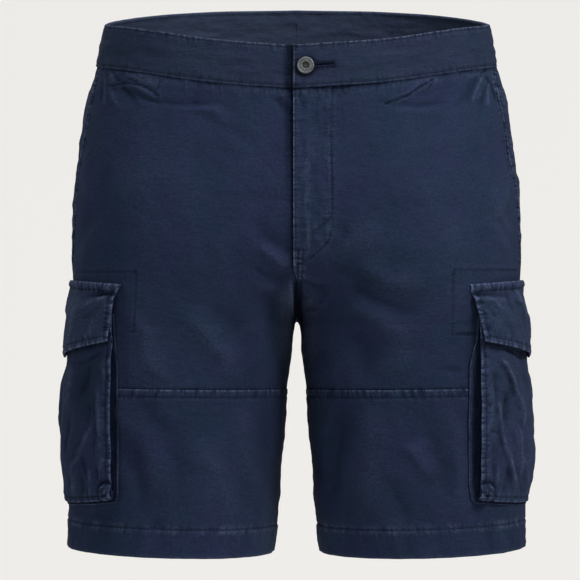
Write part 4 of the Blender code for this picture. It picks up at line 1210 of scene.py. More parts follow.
def panel_height(face, side, a, z, first=0.0):
    """A panel's plain surface, its relief, and where each point lies on it."""
    p, n = around(face, a, z)
    sx = 1.0 if side == "left" else -1.0
    full = length(face, z)
    u, w = seen_from(p, sx, face)
    to_side, to_in = full - a, a - first
    share = np.clip(a / full, 0, 1)
    below = band_bottom(face, share) - z
    world = np.stack([sx * p[..., 0], p[..., 1], p[..., 2]], -1)
    over_side, over_in = np.maximum(to_side, 0.0), np.maximum(to_in, 0.0)
    under_band = np.maximum(below, 0.0)
    r = Relief(z.shape)
    facing = smoothstep(over_side, 2.0, 45.0)
    rows = FRONT_CREASES if face == "front" else BACK_CREASES
    fine = 1.9 * drift(world) * smoothstep(below, 0.0, 30.0) + 2.3 * creases(rows, u, w)[0] * (0.35 + 0.65 * facing)
    s = (1.0 if face == "front" else -1.0) * a * sx
    # Puckers hanging from the waistband, the side seam, the rise and the inseam.
    fine = fine + 0.9 * ripple(s / 10.0, 1, below / 30.0) * np.exp(-under_band / 8.0)
    fine = fine + 0.8 * ripple(s / 21.0, 2, below / 60.0) * np.exp(-under_band / 24.0)
    tilt = z + 0.25 * over_side
    fine = fine + 0.8 * ripple(tilt / 9.0, 3 + sx, over_side / 20) * np.exp(-over_side / 7.0)
    fine = fine + 0.9 * ripple(tilt / 20.0, 5 + sx, over_side / 40) * np.exp(-over_side / 22.0)
    tilt = z - 0.3 * over_in
    low = smoothstep(-z, -CROTCH_Z - 4, -CROTCH_Z + 10)
    fine = fine + (0.3 + 0.4 * low) * ripple(tilt / 9.0, 7, over_in / 20) * np.exp(-over_in / 6.0) * smoothstep(below, 4, 20)
    fine = fine + 0.8 * low * ripple(tilt / 24.0, 8, over_in / 40) * np.exp(-over_in / 24.0)
    fine = fine * smoothstep(below, -2.0, 0.2)
    # Painted light on raised relief and painted shade in sunk relief.
    r.add(solid_folds(face, side, np.abs(p[..., 0]), z) + fine, wear=0.06 * np.clip(fine, 0, 3), dark=0.065 * np.clip(-fine, 0, 3))
    r.add(gather_h=0.9 * np.exp(-under_band / 5.5), gather_v=0.5 * np.exp(-over_side / 7.0) + 0.45 * low * np.exp(-over_in / 6.0))
    # Painted shadow along the waistband's lower edge, and painted light on the cloth just below it.
    r.add(dark=0.65 * bell(below, 1.2), wear=0.12 * bell(below - 4.2, 2.4))
    at = dict(u=u, w=w, to_side=to_side, to_in=to_in, below=below, low=low, sx=sx, full=full, fine=fine, world=world)
    if face == "front":
        # Turned in and pressed over the back at the side seam and inseam; above, it is
        # the pocket's mouth, faced with a second layer that stands a little open.
        open_here = mouth(z)
        gape = 1.1 + 1.3 * noise(np.stack([z / 34.0, z * 0 + sx * 3.1, z * 0], -1), 4)
        r.add(0.45 * np.exp(-over_side / 4.0) + open_here * gape * np.exp(-over_side / 10.0))
        # The folded edge at the side seam is rubbed pale, with painted shade in the seam beside it.
        r.add(wear=(0.45 + 0.35 * open_here) * bell(to_side - 0.7, 1.2), dark=0.8 * bell(to_side + 0.3, 0.9))
        down = smoothstep(-z, 20, 26) * (1 - smoothstep(-z, 190, 206))
        inset = INSET[side](z)
        faced = down * smoothstep(inset - over_side, -1.0, 1.0)
        r.seam(over_side - inset, 0.5, "gather_v", 1.0, 5.0, down, 0.4, 0.42, 0.42)
        r.seam(over_side - inset + 6.4, 0.3, "gather_v", 0.7, 4.0, down, 0.25)
        # The facing's lumps are paled, which is rubbed wear and painted highlight, with painted shade along its two
        # stitched lines.
        lumps = noise(np.stack([over_side / 9.0, z / 34.0, z * 0 + sx], -1), 9)
        r.add(faced * (0.45 + 1.1 * lumps), wear=0.32 * faced * np.clip(0.3 + 1.6 * lumps, 0, 1.5), gather_v=0.6 * faced)
        r.add(dark=0.35 * down * (bell(over_side - inset, 1.3) + 0.7 * bell(over_side - inset + 6.4, 1.2)))
        for d in (2.2,):
            r.seam(to_side - d, 0.25, "gather_v", 0.4, 3.0, (1 - down) * smoothstep(-z, 200, 206), 0.2)
        r.add(0.25 * np.exp(-over_in / 2.5) * low, wear=0.30 * low * bell(to_in - 0.6, 1.0))
    else:
        # Painted shade in the side seam, under the front's folded edge.
        r.add(-0.25 * np.exp(-over_side / 1.6), dark=0.7 * bell(to_side, 0.9))
        r.add(np.where(a > full, -1.15, 0.0) + np.where((a < 0) & (z < CROTCH_Z), -1.2, 0.0))
    return p, n, r, at


def front_first(side, z):
    """Arc length at which a front panel starts. See the lap and its underlap."""
    to_centre = smoothstep(z, -213.0, -199.0)
    if side == "left":
        return -LAP_X * to_centre + 0.0
    under = smoothstep(z, FLY_BOTTOM_Z, FLY_BOTTOM_Z + 7.0)
    tuck = 2.0 * smoothstep(np.abs(z - CROTCH_Z), 0.3, 8.0)
    meet = LAP_X * to_centre - tuck * (1 + to_centre)
    return meet * (1 - under) - UNDERLAP * under


def lap_raise(a, z):
    tall = 0.55 + (LAP_RAISE - 0.55) * smoothstep(z, -204.0, -195.0)
    tall = tall * smoothstep(z, -216.0, -204.0)
    return tall * (1 - smoothstep(a, 15.0, 38.0))


def front_surface(side, a, z, lower=False):
    """A front panel with its stitched lines pressed in."""
    first = front_first(side, z) if not lower else np.zeros_like(z)
    p, n, r, at = panel_height("front", side, a, z, first)
    u, w, below = at["u"], at["w"], at["below"]
    if not lower and side == "left":
        r.add(lap_raise(a, z))
        on = smoothstep(z, -206.0, -192.0)
        edge = at["to_in"]
        r.add(wear=on * (0.85 * bell(edge - 0.6, 1.1) + 0.12 * bell(edge - 4.0, 1.6)), gather_v=on * 0.6 * bell(edge - 2, 4.0))
        # Painted shade in the groove beside the lap's edge.
        r.add(-0.25 * on * bell(edge - 1.9, 0.9), dark=on * 0.3 * bell(edge - 1.9, 0.7))
        d = to_line(u, w, FLY_LINE)
        r.seam(d, 0.7, "gather_v", 0.45, 3.5, 1.0, 0.3, 0.62, 0.16)
        r.add(0.5 * ripple(z / 8.0, 15, a / 30) * bell(d, 6.0))
        # Ribs inside the fly and a ridge beside the stitching, paled on their crests: rubbed wear and painted
        # highlight.
        inside = smoothstep(a, -2, 3) * (1 - smoothstep(a, 26, 33)) * smoothstep(z, -196, -176)
        ribs = noise(np.stack([u / 7.5 + 0.03 * w, w / 60.0, u * 0], -1), 6) + 0.8 * noise(np.stack([(u + 0.8 * w) / 11.0, (w - 0.8 * u) / 30.0, u * 0], -1), 7)
        r.add(0.9 * inside * ribs, wear=0.14 * inside * np.clip(ribs + 0.1, 0, 1.2), gather_v=0.25 * inside, gather_h=0.25 * inside)
        rib = inside * bell(u - 9.3 - 0.8 * noise(np.stack([w / 30.0, w * 0, w * 0], -1), 27), 1.5) * smoothstep(-w, -150, -110)
        r.add(0.7 * rib, wear=0.42 * rib)
        # The facing's corner inside shows as a soft fold across the J, with painted highlight on its swell and painted
        # shade in the hollow beside it.
        (u0, w0), (u1, w1) = FLY_TACK
        d = to_line(u, w, FLY_TACK) * np.sign((w - w0) * (u1 - u0) - (u - u0) * (w1 - w0))
        r.add(0.9 * bell(d - 2.6, 2.6) - 0.9 * bell(d + 1.4, 2.0), wear=0.20 * bell(d - 2.2, 2.0), dark=0.30 * bell(d + 1.2, 1.4))
        d = to_line(u, w, FLY_END)
        r.seam(d, 0.45, "gather_h", 0.5, 3.0, 1.0, 0.25)
        near_rise = smoothstep(-z, 184, 188) * (1 - smoothstep(-z, 209, 213))
        for at_a in RISE_ROWS:
            r.seam(a - at_a, 0.35, "gather_v", 0.5, 3.0, near_rise, 0.35, 0.5, 0.4)
        r.add(wear=near_rise * 0.5 * bell(edge - 0.6, 1.0))
        # Below the fly the legs part: a cleft with painted shadow in it and painted light on the inner thigh beside it,
        # which lifts that thigh's shade, and loops of pulled cloth with painted light and shade on them.
        cleft = smoothstep(-z, 210, 216) * (1 - smoothstep(-z, 254, 272))
        r.add(-2.0 * cleft * (1 - smoothstep(a, 1.0, 4.5)), dark=cleft * (0.5 + 0.65 * smoothstep(-z, 214, 236)) * (1 - smoothstep(np.abs(u), 4.0, 6.0)))
        drawn = smoothstep(-z, 212, 230) * (1 - smoothstep(-z, 268, 296))
        beyond = np.abs(u) - 19.0
        r.add(-2.0 * drawn * np.where(beyond < 0, bell(beyond, 9.0), bell(beyond, 24.0)), wear=0.42 * drawn * bell(beyond + 9.5, 6.0))
        near_crotch = bell(z + 232.0, 20.0) * np.exp(-np.maximum(a - 4, 0) / 10.0) * smoothstep(a, 3, 7)
        loops = ripple((z + 0.5 * a) / 6.5, 23, a / 16)
        r.add(1.3 * near_crotch * loops, wear=0.4 * near_crotch * np.clip(loops, 0, 1), dark=0.2 * near_crotch * np.clip(-loops, 0, 1))
    elif not lower:
        # Painted shadow along the lap's edge, where this front runs under it, and painted shadow of the lap beside it,
        # darkest high up.
        over = 3.5 * smoothstep(z, -213, -199)
        hidden = 1 - smoothstep(a, 0.75 * over, over + 0.4)
        r.add(-1.15 * hidden - 0.5 * np.exp(-np.maximum(a - over, 0) / 2.0), dark=0.8 * bell(a - over, 1.3))
        beside_lap = smoothstep(z, -210.0, -196.0) * (1 - smoothstep(a - over, 3.0, 9.5))
        high = smoothstep(z, -175.0, -72.0)
        r.add(0.8 * beside_lap * ripple(z / 14.0, 26, a / 20), dark=(0.22 + 0.74 * high) * beside_lap, gather_v=0.40 * beside_lap)
        # The cleft: painted shadow in it, a painted highlight along its edge, and painted light beside it that lifts
        # the inner thigh's shade.
        cleft = smoothstep(-z, 210, 216) * (1 - smoothstep(-z, 254, 272))
        r.add(-2.0 * cleft * (1 - smoothstep(a, 0.8, 3.4)) + 1.3 * cleft * bell(a - 5.0, 2.6))
        r.add(dark=(0.5 + 0.6 * smoothstep(-z, 214, 236)) * cleft * (1 - smoothstep(np.abs(u), 3.0, 4.2)), wear=cleft * 1.15 * bell(np.abs(u) - 5.6, 1.7))
        drawn = smoothstep(-z, 208, 230) * (1 - smoothstep(-z, 270, 296))
        beyond = np.abs(u) - 19.0
        r.add(-2.6 * drawn * np.where(beyond < 0, bell(beyond, 9.0), bell(beyond, 24.0)), wear=0.78 * drawn * bell(beyond + 10.0, 6.5))
    if not lower:
        # Short stitched lines, with painted shade along their grooves.
        for line in SHORT_LINES[side]:
            d = to_line(u, w, line)
            fuzzy = np.clip(0.85 + 1.2 * ripple(u / 3.6, 48, w / 4.0), 0.15, 1.7)
            r.seam(d, 0.40, "gather_h", 0.30, 3.5, 1.0, 0.20, 0.78, 0.14)
            r.add(dark=0.42 * fuzzy * bell(d, 1.4))
        for line in SHORT_TACKS[side]:
            r.seam(to_line(u, w, line), 0.4, "gather_v", 0.4, 3.0, 1.0, 0.3, 0.40, 0.06)
        # Raised and crumpled between the waistband and the short line, with painted light and shade on the crumples.
        (u0, w0), (u1, w1) = PATCHES[side]
        patch = smoothstep(u, u0 - 4, u0 + 4) * (1 - smoothstep(u, u1 - 4, u1 + 4)) * smoothstep(w, w0 - 3, w0 + 4) * (below > 0)
        r.marks["gather_h"] = r.marks["gather_h"] * (1 - 0.75 * patch)
        for u0, w0, u1, w1, wide, much in STROKES[side]:
            d = bell(to_line(u, w, ((u0, w0), (u1, w1))), wide)
            r.add(0.9 * much * d, wear=max(much, 0.0) * d, dark=max(-much, 0.0) * d)
        crumple = noise(np.stack([(u + 1.1 * abs(w)) / 15.0, (w - 0.6 * u) / 6.0, u * 0], -1), 8)
        r.add(patch * (0.5 + 0.8 * crumple), wear=patch * (0.05 + 0.16 * np.clip(crumple, 0, 1)), dark=0.16 * patch * np.clip(-crumple, 0, 1))
        # Box-stitched lines, with painted shade along them.
        d = to_line(u, w, BOX_LINES[side])
        upright = smoothstep(15.5 - w, 0.0, 3.0) * smoothstep(w, -38.5, -34.0)
        r.seam(d, 0.30, "gather_h", 0.4, 3.0, 1 - upright, 0.2, 0.62, 0.10)
        r.seam(d, 0.20, "gather_v", 0.3, 3.0, upright, 0.12, 0.34, 0.06)
        faint = np.clip(0.9 + 1.1 * ripple((u + w) / 4.5, 47), 0.1, 1.6)
        r.add(dark=0.30 * (1 - 0.72 * upright) * faint * bell(d, 1.15))
        # Painted shadow beside the flap's front edge.
        q = at["to_side"]
        beside_flap = smoothstep(-z, 214, 224) * bell(q - 118.0, 5.0) * (1 - smoothstep(-z, 300, 330))
        r.add(dark=(0.25 if side == "right" else 0.35) * beside_flap)
        # The thigh seam: pressed down against the lower front's raised edge, with painted shade along it.
        above = z - thigh_z(np.clip(a / at["full"], 0, 1))
        over = np.maximum(above, 0)
        r.add(-0.3 * np.exp(-over / 1.5) + 0.55 * ripple(at["sx"] * a / 9.0, 31, above / 14) * np.exp(-over / 5.0))
        r.add(np.where(above < 0, -1.2, 0.0), dark=0.45 * bell(above, 1.0), gather_h=0.5 * np.exp(-over / 4.0))
    else:
        under = thigh_z(np.clip(a / at["full"], 0, 1)) - z
        r.add(thigh_lift(z) + 0.30 * np.exp(-np.maximum(under, 0) / 5.0))
        r.add(0.5 * ripple(at["sx"] * a / 9.5, 34) * np.exp(-((np.maximum(under - 4, 0) / 9.0) ** 1.5)))
        r.add(gather_h=0.6 * np.exp(-((np.maximum(under - 5, 0) / 7.0) ** 1.5)) + 0.55 * bell(under - 3.6, 3.0))
        r.seam(under - 6.4, 0.35, "gather_h", 0.0, 3.0, 1.0, 0.2, 0.42, 0.06)
        r.add(wear=0.7 * bell(under - 0.5, 0.8))
    # Painted light beside the inseam, which lifts the shade of the inner legs; it also stands for the pale rubbing of
    # the inner thighs.
    inner = smoothstep(-z, 238, 264) * np.exp(-((np.maximum(at["to_in"], 0) / (42.0 if side == "right" else 50.0)) ** 2.5))
    r.add(wear=(0.45 if side == "right" else 0.45 * (1 - smoothstep(-z, 335, 380))) * inner)
    hem_finish("front", a, z, r, at)
    return (p, n) + r.done() + (at,)


def hem_finish(face, a, z, r, at):
    """The turned-up hem: pressed along its stitching, puckered below it."""
    over = z - hem_z(np.abs(at["world"][..., 0]))
    s = (at["sx"] if face == "front" else -at["sx"]) * a
    on = 1 - smoothstep(over, HEM_DEPTH, HEM_DEPTH + 26)
    pulls = ripple(s / 13.0, 41, over / 34) * on
    r.add(0.95 * pulls + 0.35 * ripple(s / 8.5, 43, over / 20) * bell(over - HEM_DEPTH, 7.0))
    r.add(0.5 * (1 - smoothstep(over, HEM_DEPTH - 1.5, HEM_DEPTH + 0.5)))
    held = np.clip(0.75 + 1.3 * ripple(s / 9.0, 44), 0.15, 1.5)
    r.seam(over - HEM_DEPTH, 0.45, "gather_h", 0.6, 5.0, 1.0, 0.25, 0.20 * held, 0.34 * (1.6 - held))
    turned = 1 - smoothstep(over, HEM_DEPTH - 4, HEM_DEPTH)
    r.add(gather_h=(0.15 + 0.3 * np.exp(-np.maximum(at["to_side"], 0) / 26.0) + 0.2 * np.exp(-np.maximum(a, 0) / 20.0)) * turned)
    # Rubbed pale along the hem's fold, and paler on the puckers' swells, which is painted highlight.
    r.add(wear=0.35 * bell(over - 0.9, 1.3) + 0.10 * np.clip(pulls, 0, 1))
    at["over"] = over


def back_surface(side, a, z):
    sx = 1.0 if side == "left" else -1.0
    first = back_first(side, z)
    p, n, r, at = panel_height("back", side, a, z, first)
    above = smoothstep(z, CROTCH_Z - 2, CROTCH_Z + 6)
    over = np.maximum(a, 0)
    r.add(above * 0.5 * ripple(z / 9.0, 17, a / 14) * np.exp(-over / 8.0), gather_v=0.5 * above * np.exp(-over / 8.0))
    if side == "left":
        r.add(above * 0.35 * np.exp(-over / 6.0))
        for d in (1.8, 7.6):
            r.seam(a - d, 0.3, "gather_v", 0.3, 3.0, above, 0.2)
        r.add(wear=above * 0.45 * bell(a - 0.5, 1.1))
    else:
        hidden = 1 - smoothstep(a, 0.0, 0.5)
        # Painted shade in the seat seam, where the right back runs under the left.
        r.add(-above * (1.1 * hidden + 0.25 * np.exp(-over / 2.0)), dark=above * 0.7 * bell(a, 1.0))
    near_crotch = bell(z + 243.0, 18.0) * np.exp(-over / 16.0)
    r.add(1.3 * near_crotch * ripple((z + 0.4 * a) / 9.0, 25 + sx, a / 20))
    hem_finish("back", a, z, r, at)
    return (p, n) + r.done() + (at,)


def back_first(side, z):
    """The right back runs on under the left one at the seat seam, and both run on
    under the fronts at the inseam."""
    tuck = 2.0 * smoothstep(np.abs(z - CROTCH_Z), 0.3, 8.0)
    above = (z >= CROTCH_Z) * 1.0
    return -tuck * (1 - above) - (tuck * above if side == "right" else 0.0)


SPAN = 345.0


def columns_at(face, s, first, z):
    full = length(face, z)
    mean = sum(length(face, z + d) for d in (-30, -20, -10, 0, 10, 20, 30)) / 7
    share = (s - 13) / (SPAN - 13)
    swing = (mean - full) * smoothstep(share, 0.0, 0.3)
    far = full - (1 - share) * (full + swing - 13)
    return np.where(s < 13, first + (13 - first) * s / 13, far)


TOP_LEVEL = -40.0
END_BACK = -455.0


def rise_levels(face, count):
    """Levels from the waistband to the crotch, even along the rise seam."""
    z = np.concatenate([np.linspace(TOP_LEVEL, CROTCH_Z + 30, 400), CROTCH_Z + np.linspace(math.sqrt(30), 0, 400)[1:] ** 2])
    y = RISE_Y[face](np.sqrt(np.maximum(z - CROTCH_Z, 0)))
    run = np.append(0, np.cumsum(np.hypot(np.diff(z), np.diff(y))))
    return np.interp(np.linspace(0, run[-1], count), run, z), run[-1]


def panel_grid(face, side, end_level, end_of, first_of, pitch, tail, past_side, hem=False):
    """Arc length and height of every point of a panel from the waistband down."""
    s = positions(SPAN, coarse=pitch)
    if tail:
        s = np.concatenate([s[s < 200.0], np.linspace(200.0, SPAN - 9.0, 80)[:-1], s[s >= SPAN - 9.0]])
    if past_side:
        s = np.append(s, SPAN + past_side * np.array((0.25, 0.6, 1.0)))
    _, rise_run = rise_levels(face, 10)
    count = int(rise_run / pitch)
    at_rise, _ = rise_levels(face, count)
    at_side = np.linspace(TOP_LEVEL, -255.0, count)
    if tail:
        rows = np.concatenate([np.arange(0, 16, 2 / 3), np.arange(16, count)])
        at_rise, at_side = (np.interp(rows, np.arange(count), one) for one in (at_rise, at_side))
    drop = -255.0 - end_level
    if hem:
        steps = hem_positions(drop, pitch)
    else:
        steps = np.linspace(0, drop, int(drop / pitch) + 1)
    at_rise = np.append(at_rise, CROTCH_Z - steps[1:] * (CROTCH_Z - end_level) / drop)
    at_side = np.append(at_side, -255.0 - steps[1:])
    about = np.clip(np.where(s < 13, 0.05 * s / 13, 0.05 + 0.95 * (s - 13) / (SPAN - 13)), 0, 1)
    level = at_rise[:, None] + (at_side - at_rise)[:, None] * smoothstep(about, 0.02, 0.5)[None, :]
    # Each column's own top, on the waistband's lower edge, and its own foot.
    top = np.full(len(s), -45.0)
    for _ in range(3):
        a_top = columns_at(face, s, first_of(top), top)
        top = band_bottom(face, np.clip(a_top / length(face, top), -1, 1)) + (4.6 if face == "front" else 1.2)
    foot = end_of(s)
    lift = np.maximum((level + 190.0) / (TOP_LEVEL + 190.0), 0.0) ** 1.5
    fall = smoothstep(-level, 250.0, -end_level)
    z = level + (top - TOP_LEVEL)[None, :] * lift + (foot - end_level)[None, :] * fall
    for drop in (0.25, 0.6, 1.0) if tail else ():
        z = np.vstack([z, z[len(level) - 1 : len(level)] - drop * tail])
    a = columns_at(face, np.broadcast_to(s, z.shape), first_of(z), z)
    return s, a, z


def hem_positions(drop, pitch):
    """Rows down a leg, closer at the hem's stitching and at its end."""
    rows = list(np.linspace(0, drop - HEM_DEPTH - 4, int((drop - HEM_DEPTH - 4) / pitch)))
    rows += [drop - HEM_DEPTH + d for d in (-2.4, -1.2, -0.4, 0.4, 1.2, 2.4)]
    rows += list(drop - HEM_DEPTH + 4.8 + np.arange(0, 7) * 2.55)
    rows += [drop - d for d in (2.6, 1.7, 1.0, 0.55, 0.25, 0.08, 0.0)]
    return np.array(sorted(set(np.round(rows, 4))))


def feet(face, s):
    """Height of the hem at each column."""
    z = np.full(len(s), -453.0)
    a = columns_at(face, s, np.zeros(len(s)), z)
    p, _ = around(face, a, z)
    return hem_z(np.abs(p[:, 0]))


def thick_at(over):
    return CLOTH + 1.3 * (1 - smoothstep(over, HEM_DEPTH - 1.0, HEM_DEPTH + 1.0))


def finish_panel(name, surface, f, thick, side, a, z):
    p, n, height, marks, at = surface
    outer, inner = two_layers(p, n, height, thick, f)
    uv = np.stack([a * (1 if side == "left" else -1), z], -1) * 0.01
    made = shell(name, outer, inner, side, "body", attrs=marks, uv=uv)
    return made


PIECES = {}


def make_fronts(side):
    # Upper front.
    s, a, z = panel_grid(
        "front", side, THIGH_Z, lambda s: thigh_z(np.clip((s - 13) / (SPAN - 13), 0, 1) * 0.95 + 0.05) - 0.0,
        lambda z: front_first(side, z), 2.55, 9.0, 0.0,
    )  # fmt: skip
    surface = front_surface(side, a, z)
    at = surface[4]
    f = edge_round((at["to_side"], at["to_in"]), 0.7)
    thick = np.full(z.shape, CLOTH)
    PIECES[f"front_upper_{side}"] = finish_panel(f"cloth_front_upper_{side}", surface, f, thick, side, a, z)
    # Lower front.
    s = positions(SPAN, coarse=2.6)
    about = np.clip(np.where(s < 13, 0.05 * s / 13, 0.05 + 0.95 * (s - 13) / (SPAN - 13)), 0, 1)
    drop = THIGH_Z - END_BACK
    rows = hem_positions(drop, 2.6)
    rows = np.array(sorted({0.0, 0.1, 0.3, 0.6, 1.0, 1.6, 2.5, 3.6, 4.8, 5.8, 6.6, 7.6, 9.0} | set(rows[rows > 10.5])))
    t = rows / drop
    start = thigh_z(about)
    foot = feet("front", s)
    z = start[None, :] + t[:, None] * (foot - start)[None, :]
    a = columns_at("front", np.broadcast_to(s, z.shape), np.zeros_like(z), z)
    surface = front_surface(side, a, z, lower=True)
    at = surface[4]
    under = thigh_z(np.clip(a / at["full"], 0, 1)) - z
    under = np.broadcast_to(rows[:, None], z.shape)
    thick = thick_at(at["over"])
    f = edge_round((at["to_side"], at["to_in"], under), 0.7) * edge_round((at["over"],), 1.1)
    PIECES[f"front_lower_{side}"] = finish_panel(f"cloth_front_lower_{side}", surface, f, thick, side, a, z)


def make_back(side):
    s, a, z = panel_grid(
        "back", side, END_BACK, lambda s: feet("back", s), lambda z: back_first(side, z), 3.0, 0.0, 6.0, hem=True
    )
    surface = back_surface(side, a, z)
    at = surface[4]
    thick = thick_at(at["over"])
    f = edge_round((at["over"],), 1.1)
    if side == "left":
        f = f * np.where(z > CROTCH_Z, edge_round((np.maximum(at["to_in"], 0),), 0.7), 1.0)
    PIECES[f"back_{side}"] = finish_panel(f"cloth_back_{side}", surface, f, thick, side, a, z)


# ------------------------------------------------------------------ waistband
def band_surface(side, t, v):
    """t is arc length at z 0 from the centre front; v is height over the band's
    lower edge."""
    front_full = float(length("front", 0.0))
    back_full = float(length("back", 0.0))
    on_front = t <= front_full
    share_f = t / front_full
    share_b = (front_full + back_full - t) / back_full
    zf = band_bottom("front", share_f) + v
    zb = band_bottom("back", np.maximum(share_b, 0)) + v
    pf, nf = around("front", np.minimum(share_f, 1.0) * length("front", zf), zf)
    pb, nb = around("back", share_b * length("back", zb), zb)
    pick = on_front[..., None]
    p, n = np.where(pick, pf, pb), np.where(pick, nf, nb)
    sx = 1.0 if side == "left" else -1.0
    off = np.full(t.shape, BAND_PROUD)
    if side == "left":
        off = off + (2.4 + SEAM + 0.2) * (1 - smoothstep(t, 36.0, 76.0))
    rows_low, rows_top = 2.6, BAND_TALL - 2.2
    r = Relief(t.shape)
    r.add(off + 0.4 * np.sin(np.clip((v - rows_low) / (rows_top - rows_low), 0, 1) * math.pi) ** 0.6)
    s = sx * t
    r.add(0.5 * ripple(s / 9.0, 51, v / 20) * np.exp(-np.abs(v - rows_low) / 7.0))
    r.add(0.35 * ripple(s / 8.5, 52, v / 20) * np.exp(-np.abs(v - rows_top) / 6.0))
    r.add(0.6 * ripple(s / 21.0, 53, v / 30))
    middle = np.sin(np.clip(v / BAND_TALL, 0, 1) * math.pi) ** 1.2
    # Long folds along the band: painted light on their ridges and painted shade in their hollows.
    long_folds = noise(np.stack([s / 34.0, v / 5.2, v * 0], -1), 12)
    r.add(0.8 * middle * long_folds, wear=0.11 * middle * np.clip(long_folds, 0, 1), dark=0.11 * middle * np.clip(-long_folds - 0.1, 0, 1))
    r.add(0.4 * middle * noise(np.stack([s / 13.0, v / 3.4, v * 0], -1), 13))
    r.seam(v - rows_low, 0.35, "gather_h", 0.7, 4.5, 1.0, 0.25, 0.25, 0.08)
    r.seam(v - rows_top, 0.3, "gather_h", 0.8, 4.5, 1.0, 0.2, 0.3, 0.08)
    # Rubbed pale along the top edge and the lower rim; painted shade along the lower edge's seam.
    r.add(wear=0.8 * bell(v - BAND_TALL + 0.6, 1.0) + 0.12 * bell(v - 0.6, 0.9), dark=0.55 * bell(v, 0.5), gather_v=0.25 * middle)
    if side == "right":
        # Painted shadow of the lap over this band's end.
        r.add(dark=0.35 * bell(t - LAP_X, 1.4) + 0.98 * (1 - smoothstep(t - LAP_X, 4.0, 9.6)), gather_v=0.6 * bell(t, 10.0))
        r.add(0.8 * ripple(v / 7.0, 55, t / 30) * bell(t - 4, 9.0))
    if side == "left":
        # Painted shade along the stitching at the lap's end.
        r.add(gather_v=0.7 * bell(t + LAP_X - 3, 4.0), dark=0.3 * bell(t + LAP_X - 2.4, 0.7))
        r.add(0.45 * ripple(v / 7.0, 56, t / 30) * np.exp(-np.maximum(t + LAP_X, 0) / 7.0))
        r.add(wear=0.8 * bell(t + LAP_X - 0.6, 1.1))
        # Sunk round the buttonhole, with painted shade round its slit.
        from_hole = np.hypot(np.maximum(np.maximum(HOLE_FROM - t, t - HOLE_TO), 0), v - BAND_TALL / 2)
        r.add(-0.25 * bell(from_hole, 3.0), dark=0.60 * bell(from_hole, 3.4))
        # Sunk under the button, with a painted shadow ring round it.
        from_button = np.hypot(t - BUTTON_X, v - BAND_TALL / 2)
        r.add(-0.5 * bell(from_button, 9.0), dark=0.95 * bell(from_button - 7.9, 1.9))
    return (p, n) + r.done()


def make_band(side):
    front_full, back_full = float(length("front", 0.0)), float(length("back", 0.0))
    total = front_full + back_full
    start = -LAP_X if side == "left" else -30.0
    t = start + positions(total - start, coarse=2.3)
    if side == "right":
        t = np.append(t, total + 1.5)
    v = positions(BAND_TALL, coarse=1.9, grow=1.25)
    missing = None
    if side == "left":
        mid = BAND_TALL / 2
        v = np.array(sorted([x for x in v if abs(x - mid) > 1.4] + [mid - 0.55, mid + 0.55]))
        t = np.array(sorted([x for x in t if not HOLE_FROM - 1.2 < x < HOLE_FROM + 1.2 and not HOLE_TO - 1.2 < x < HOLE_TO + 1.2] + [HOLE_FROM, HOLE_TO]))
        missing = np.zeros((len(v) - 1, len(t) - 1), bool)
        i = int(np.searchsorted(v, mid - 0.56))
        j0, j1 = int(np.searchsorted(t, HOLE_FROM - 0.01)), int(np.searchsorted(t, HOLE_TO - 0.01))
        missing[i, j0:j1] = True
    tt, vv = np.meshgrid(t, v)
    p, n, off, marks = band_surface(side, tt, vv)
    if side == "right":
        off = np.where(tt > total, off - 1.0, off)
    f = edge_round((tt - start, vv, BAND_TALL - vv), 1.1)
    if side == "left":
        f = f * edge_round((np.maximum(total - tt, 0),), 0.5)
    outer, inner = two_layers(p, n, off, np.full(tt.shape, BAND_WALL), f)
    uv = np.stack([tt * (1 if side == "left" else -1) + 37.0, vv + 11.0], -1) * 0.01
    made = shell(f"cloth_waistband_{side}", outer, inner, side, "band", missing=missing, attrs=marks, uv=uv)
    PIECES[f"waistband_{side}"] = made
    # Stitches along both long edges, and on the left band down its front end.
    line = np.arange(start + 2.4, total - 0.5, 1.2)
    for v_row, pitch in ((2.6, 3.1), (BAND_TALL - 2.2, 3.1)):
        p, n, off, _ = band_surface(side, line, np.full(line.shape, v_row))
        stitches(f"waistband_{side}", side, p + n * off[:, None], n, pitch=pitch)
    if side == "left":
        line = np.arange(2.6, BAND_TALL - 2.0, 1.2)
        p, n, off, _ = band_surface(side, np.full(line.shape, start + 2.4), line)
        stitches(f"waistband_{side}", side, p + n * off[:, None], n)
        # Buttonhole: satin stitches square to the slit, and a bar at its end.
        for k in np.arange(HOLE_FROM + 0.3, HOLE_TO + 1.2, 1.12):
            reach = 3.1 + 0.6 * math.sin(7.3 * k) + 0.3 * math.sin(3.1 * k)
            for low, high in ((BAND_TALL / 2 - reach, BAND_TALL / 2 - 0.10), (BAND_TALL / 2 + 0.10, BAND_TALL / 2 + reach)):
                v_line = np.linspace(low, high, 4)
                p, n, off, _ = band_surface(side, np.full(4, k), v_line)
                stitches(f"waistband_{side}", side, p + n * off[:, None], n, pitch=2.6, gap=0.0, width=0.66, tall=0.8, lift=0.12)
        for k in np.arange(BAND_TALL / 2 - 2.5, BAND_TALL / 2 + 2.6, 0.55):
            t_line = np.linspace(HOLE_TO + 0.4, HOLE_TO + 2.6, 4)
            p, n, off, _ = band_surface(side, t_line, np.full(4, k))
            stitches(f"waistband_{side}", side, p + n * off[:, None], n, pitch=2.2, gap=0.0, width=0.58, tall=0.8, lift=0.16)


# --------------------------------------------------------------- cargo pocket
def pocket_half(z):
    t = (z - POCKET_BOTTOM_Z) / (POCKET_TOP_Z - POCKET_BOTTOM_Z)
    return POCKET_HALF_LOW + (POCKET_HALF_TOP - POCKET_HALF_LOW) * t


def pocket_bottom(step):
    return POCKET_BOTTOM_Z + 7.0 * step**2


def flap_half(side, z):
    return FLAP_HALF + FLAP_EAR[side] * (1 - smoothstep(FLAP_TOP_Z - z, 0.0, FLAP_EAR_TALL))


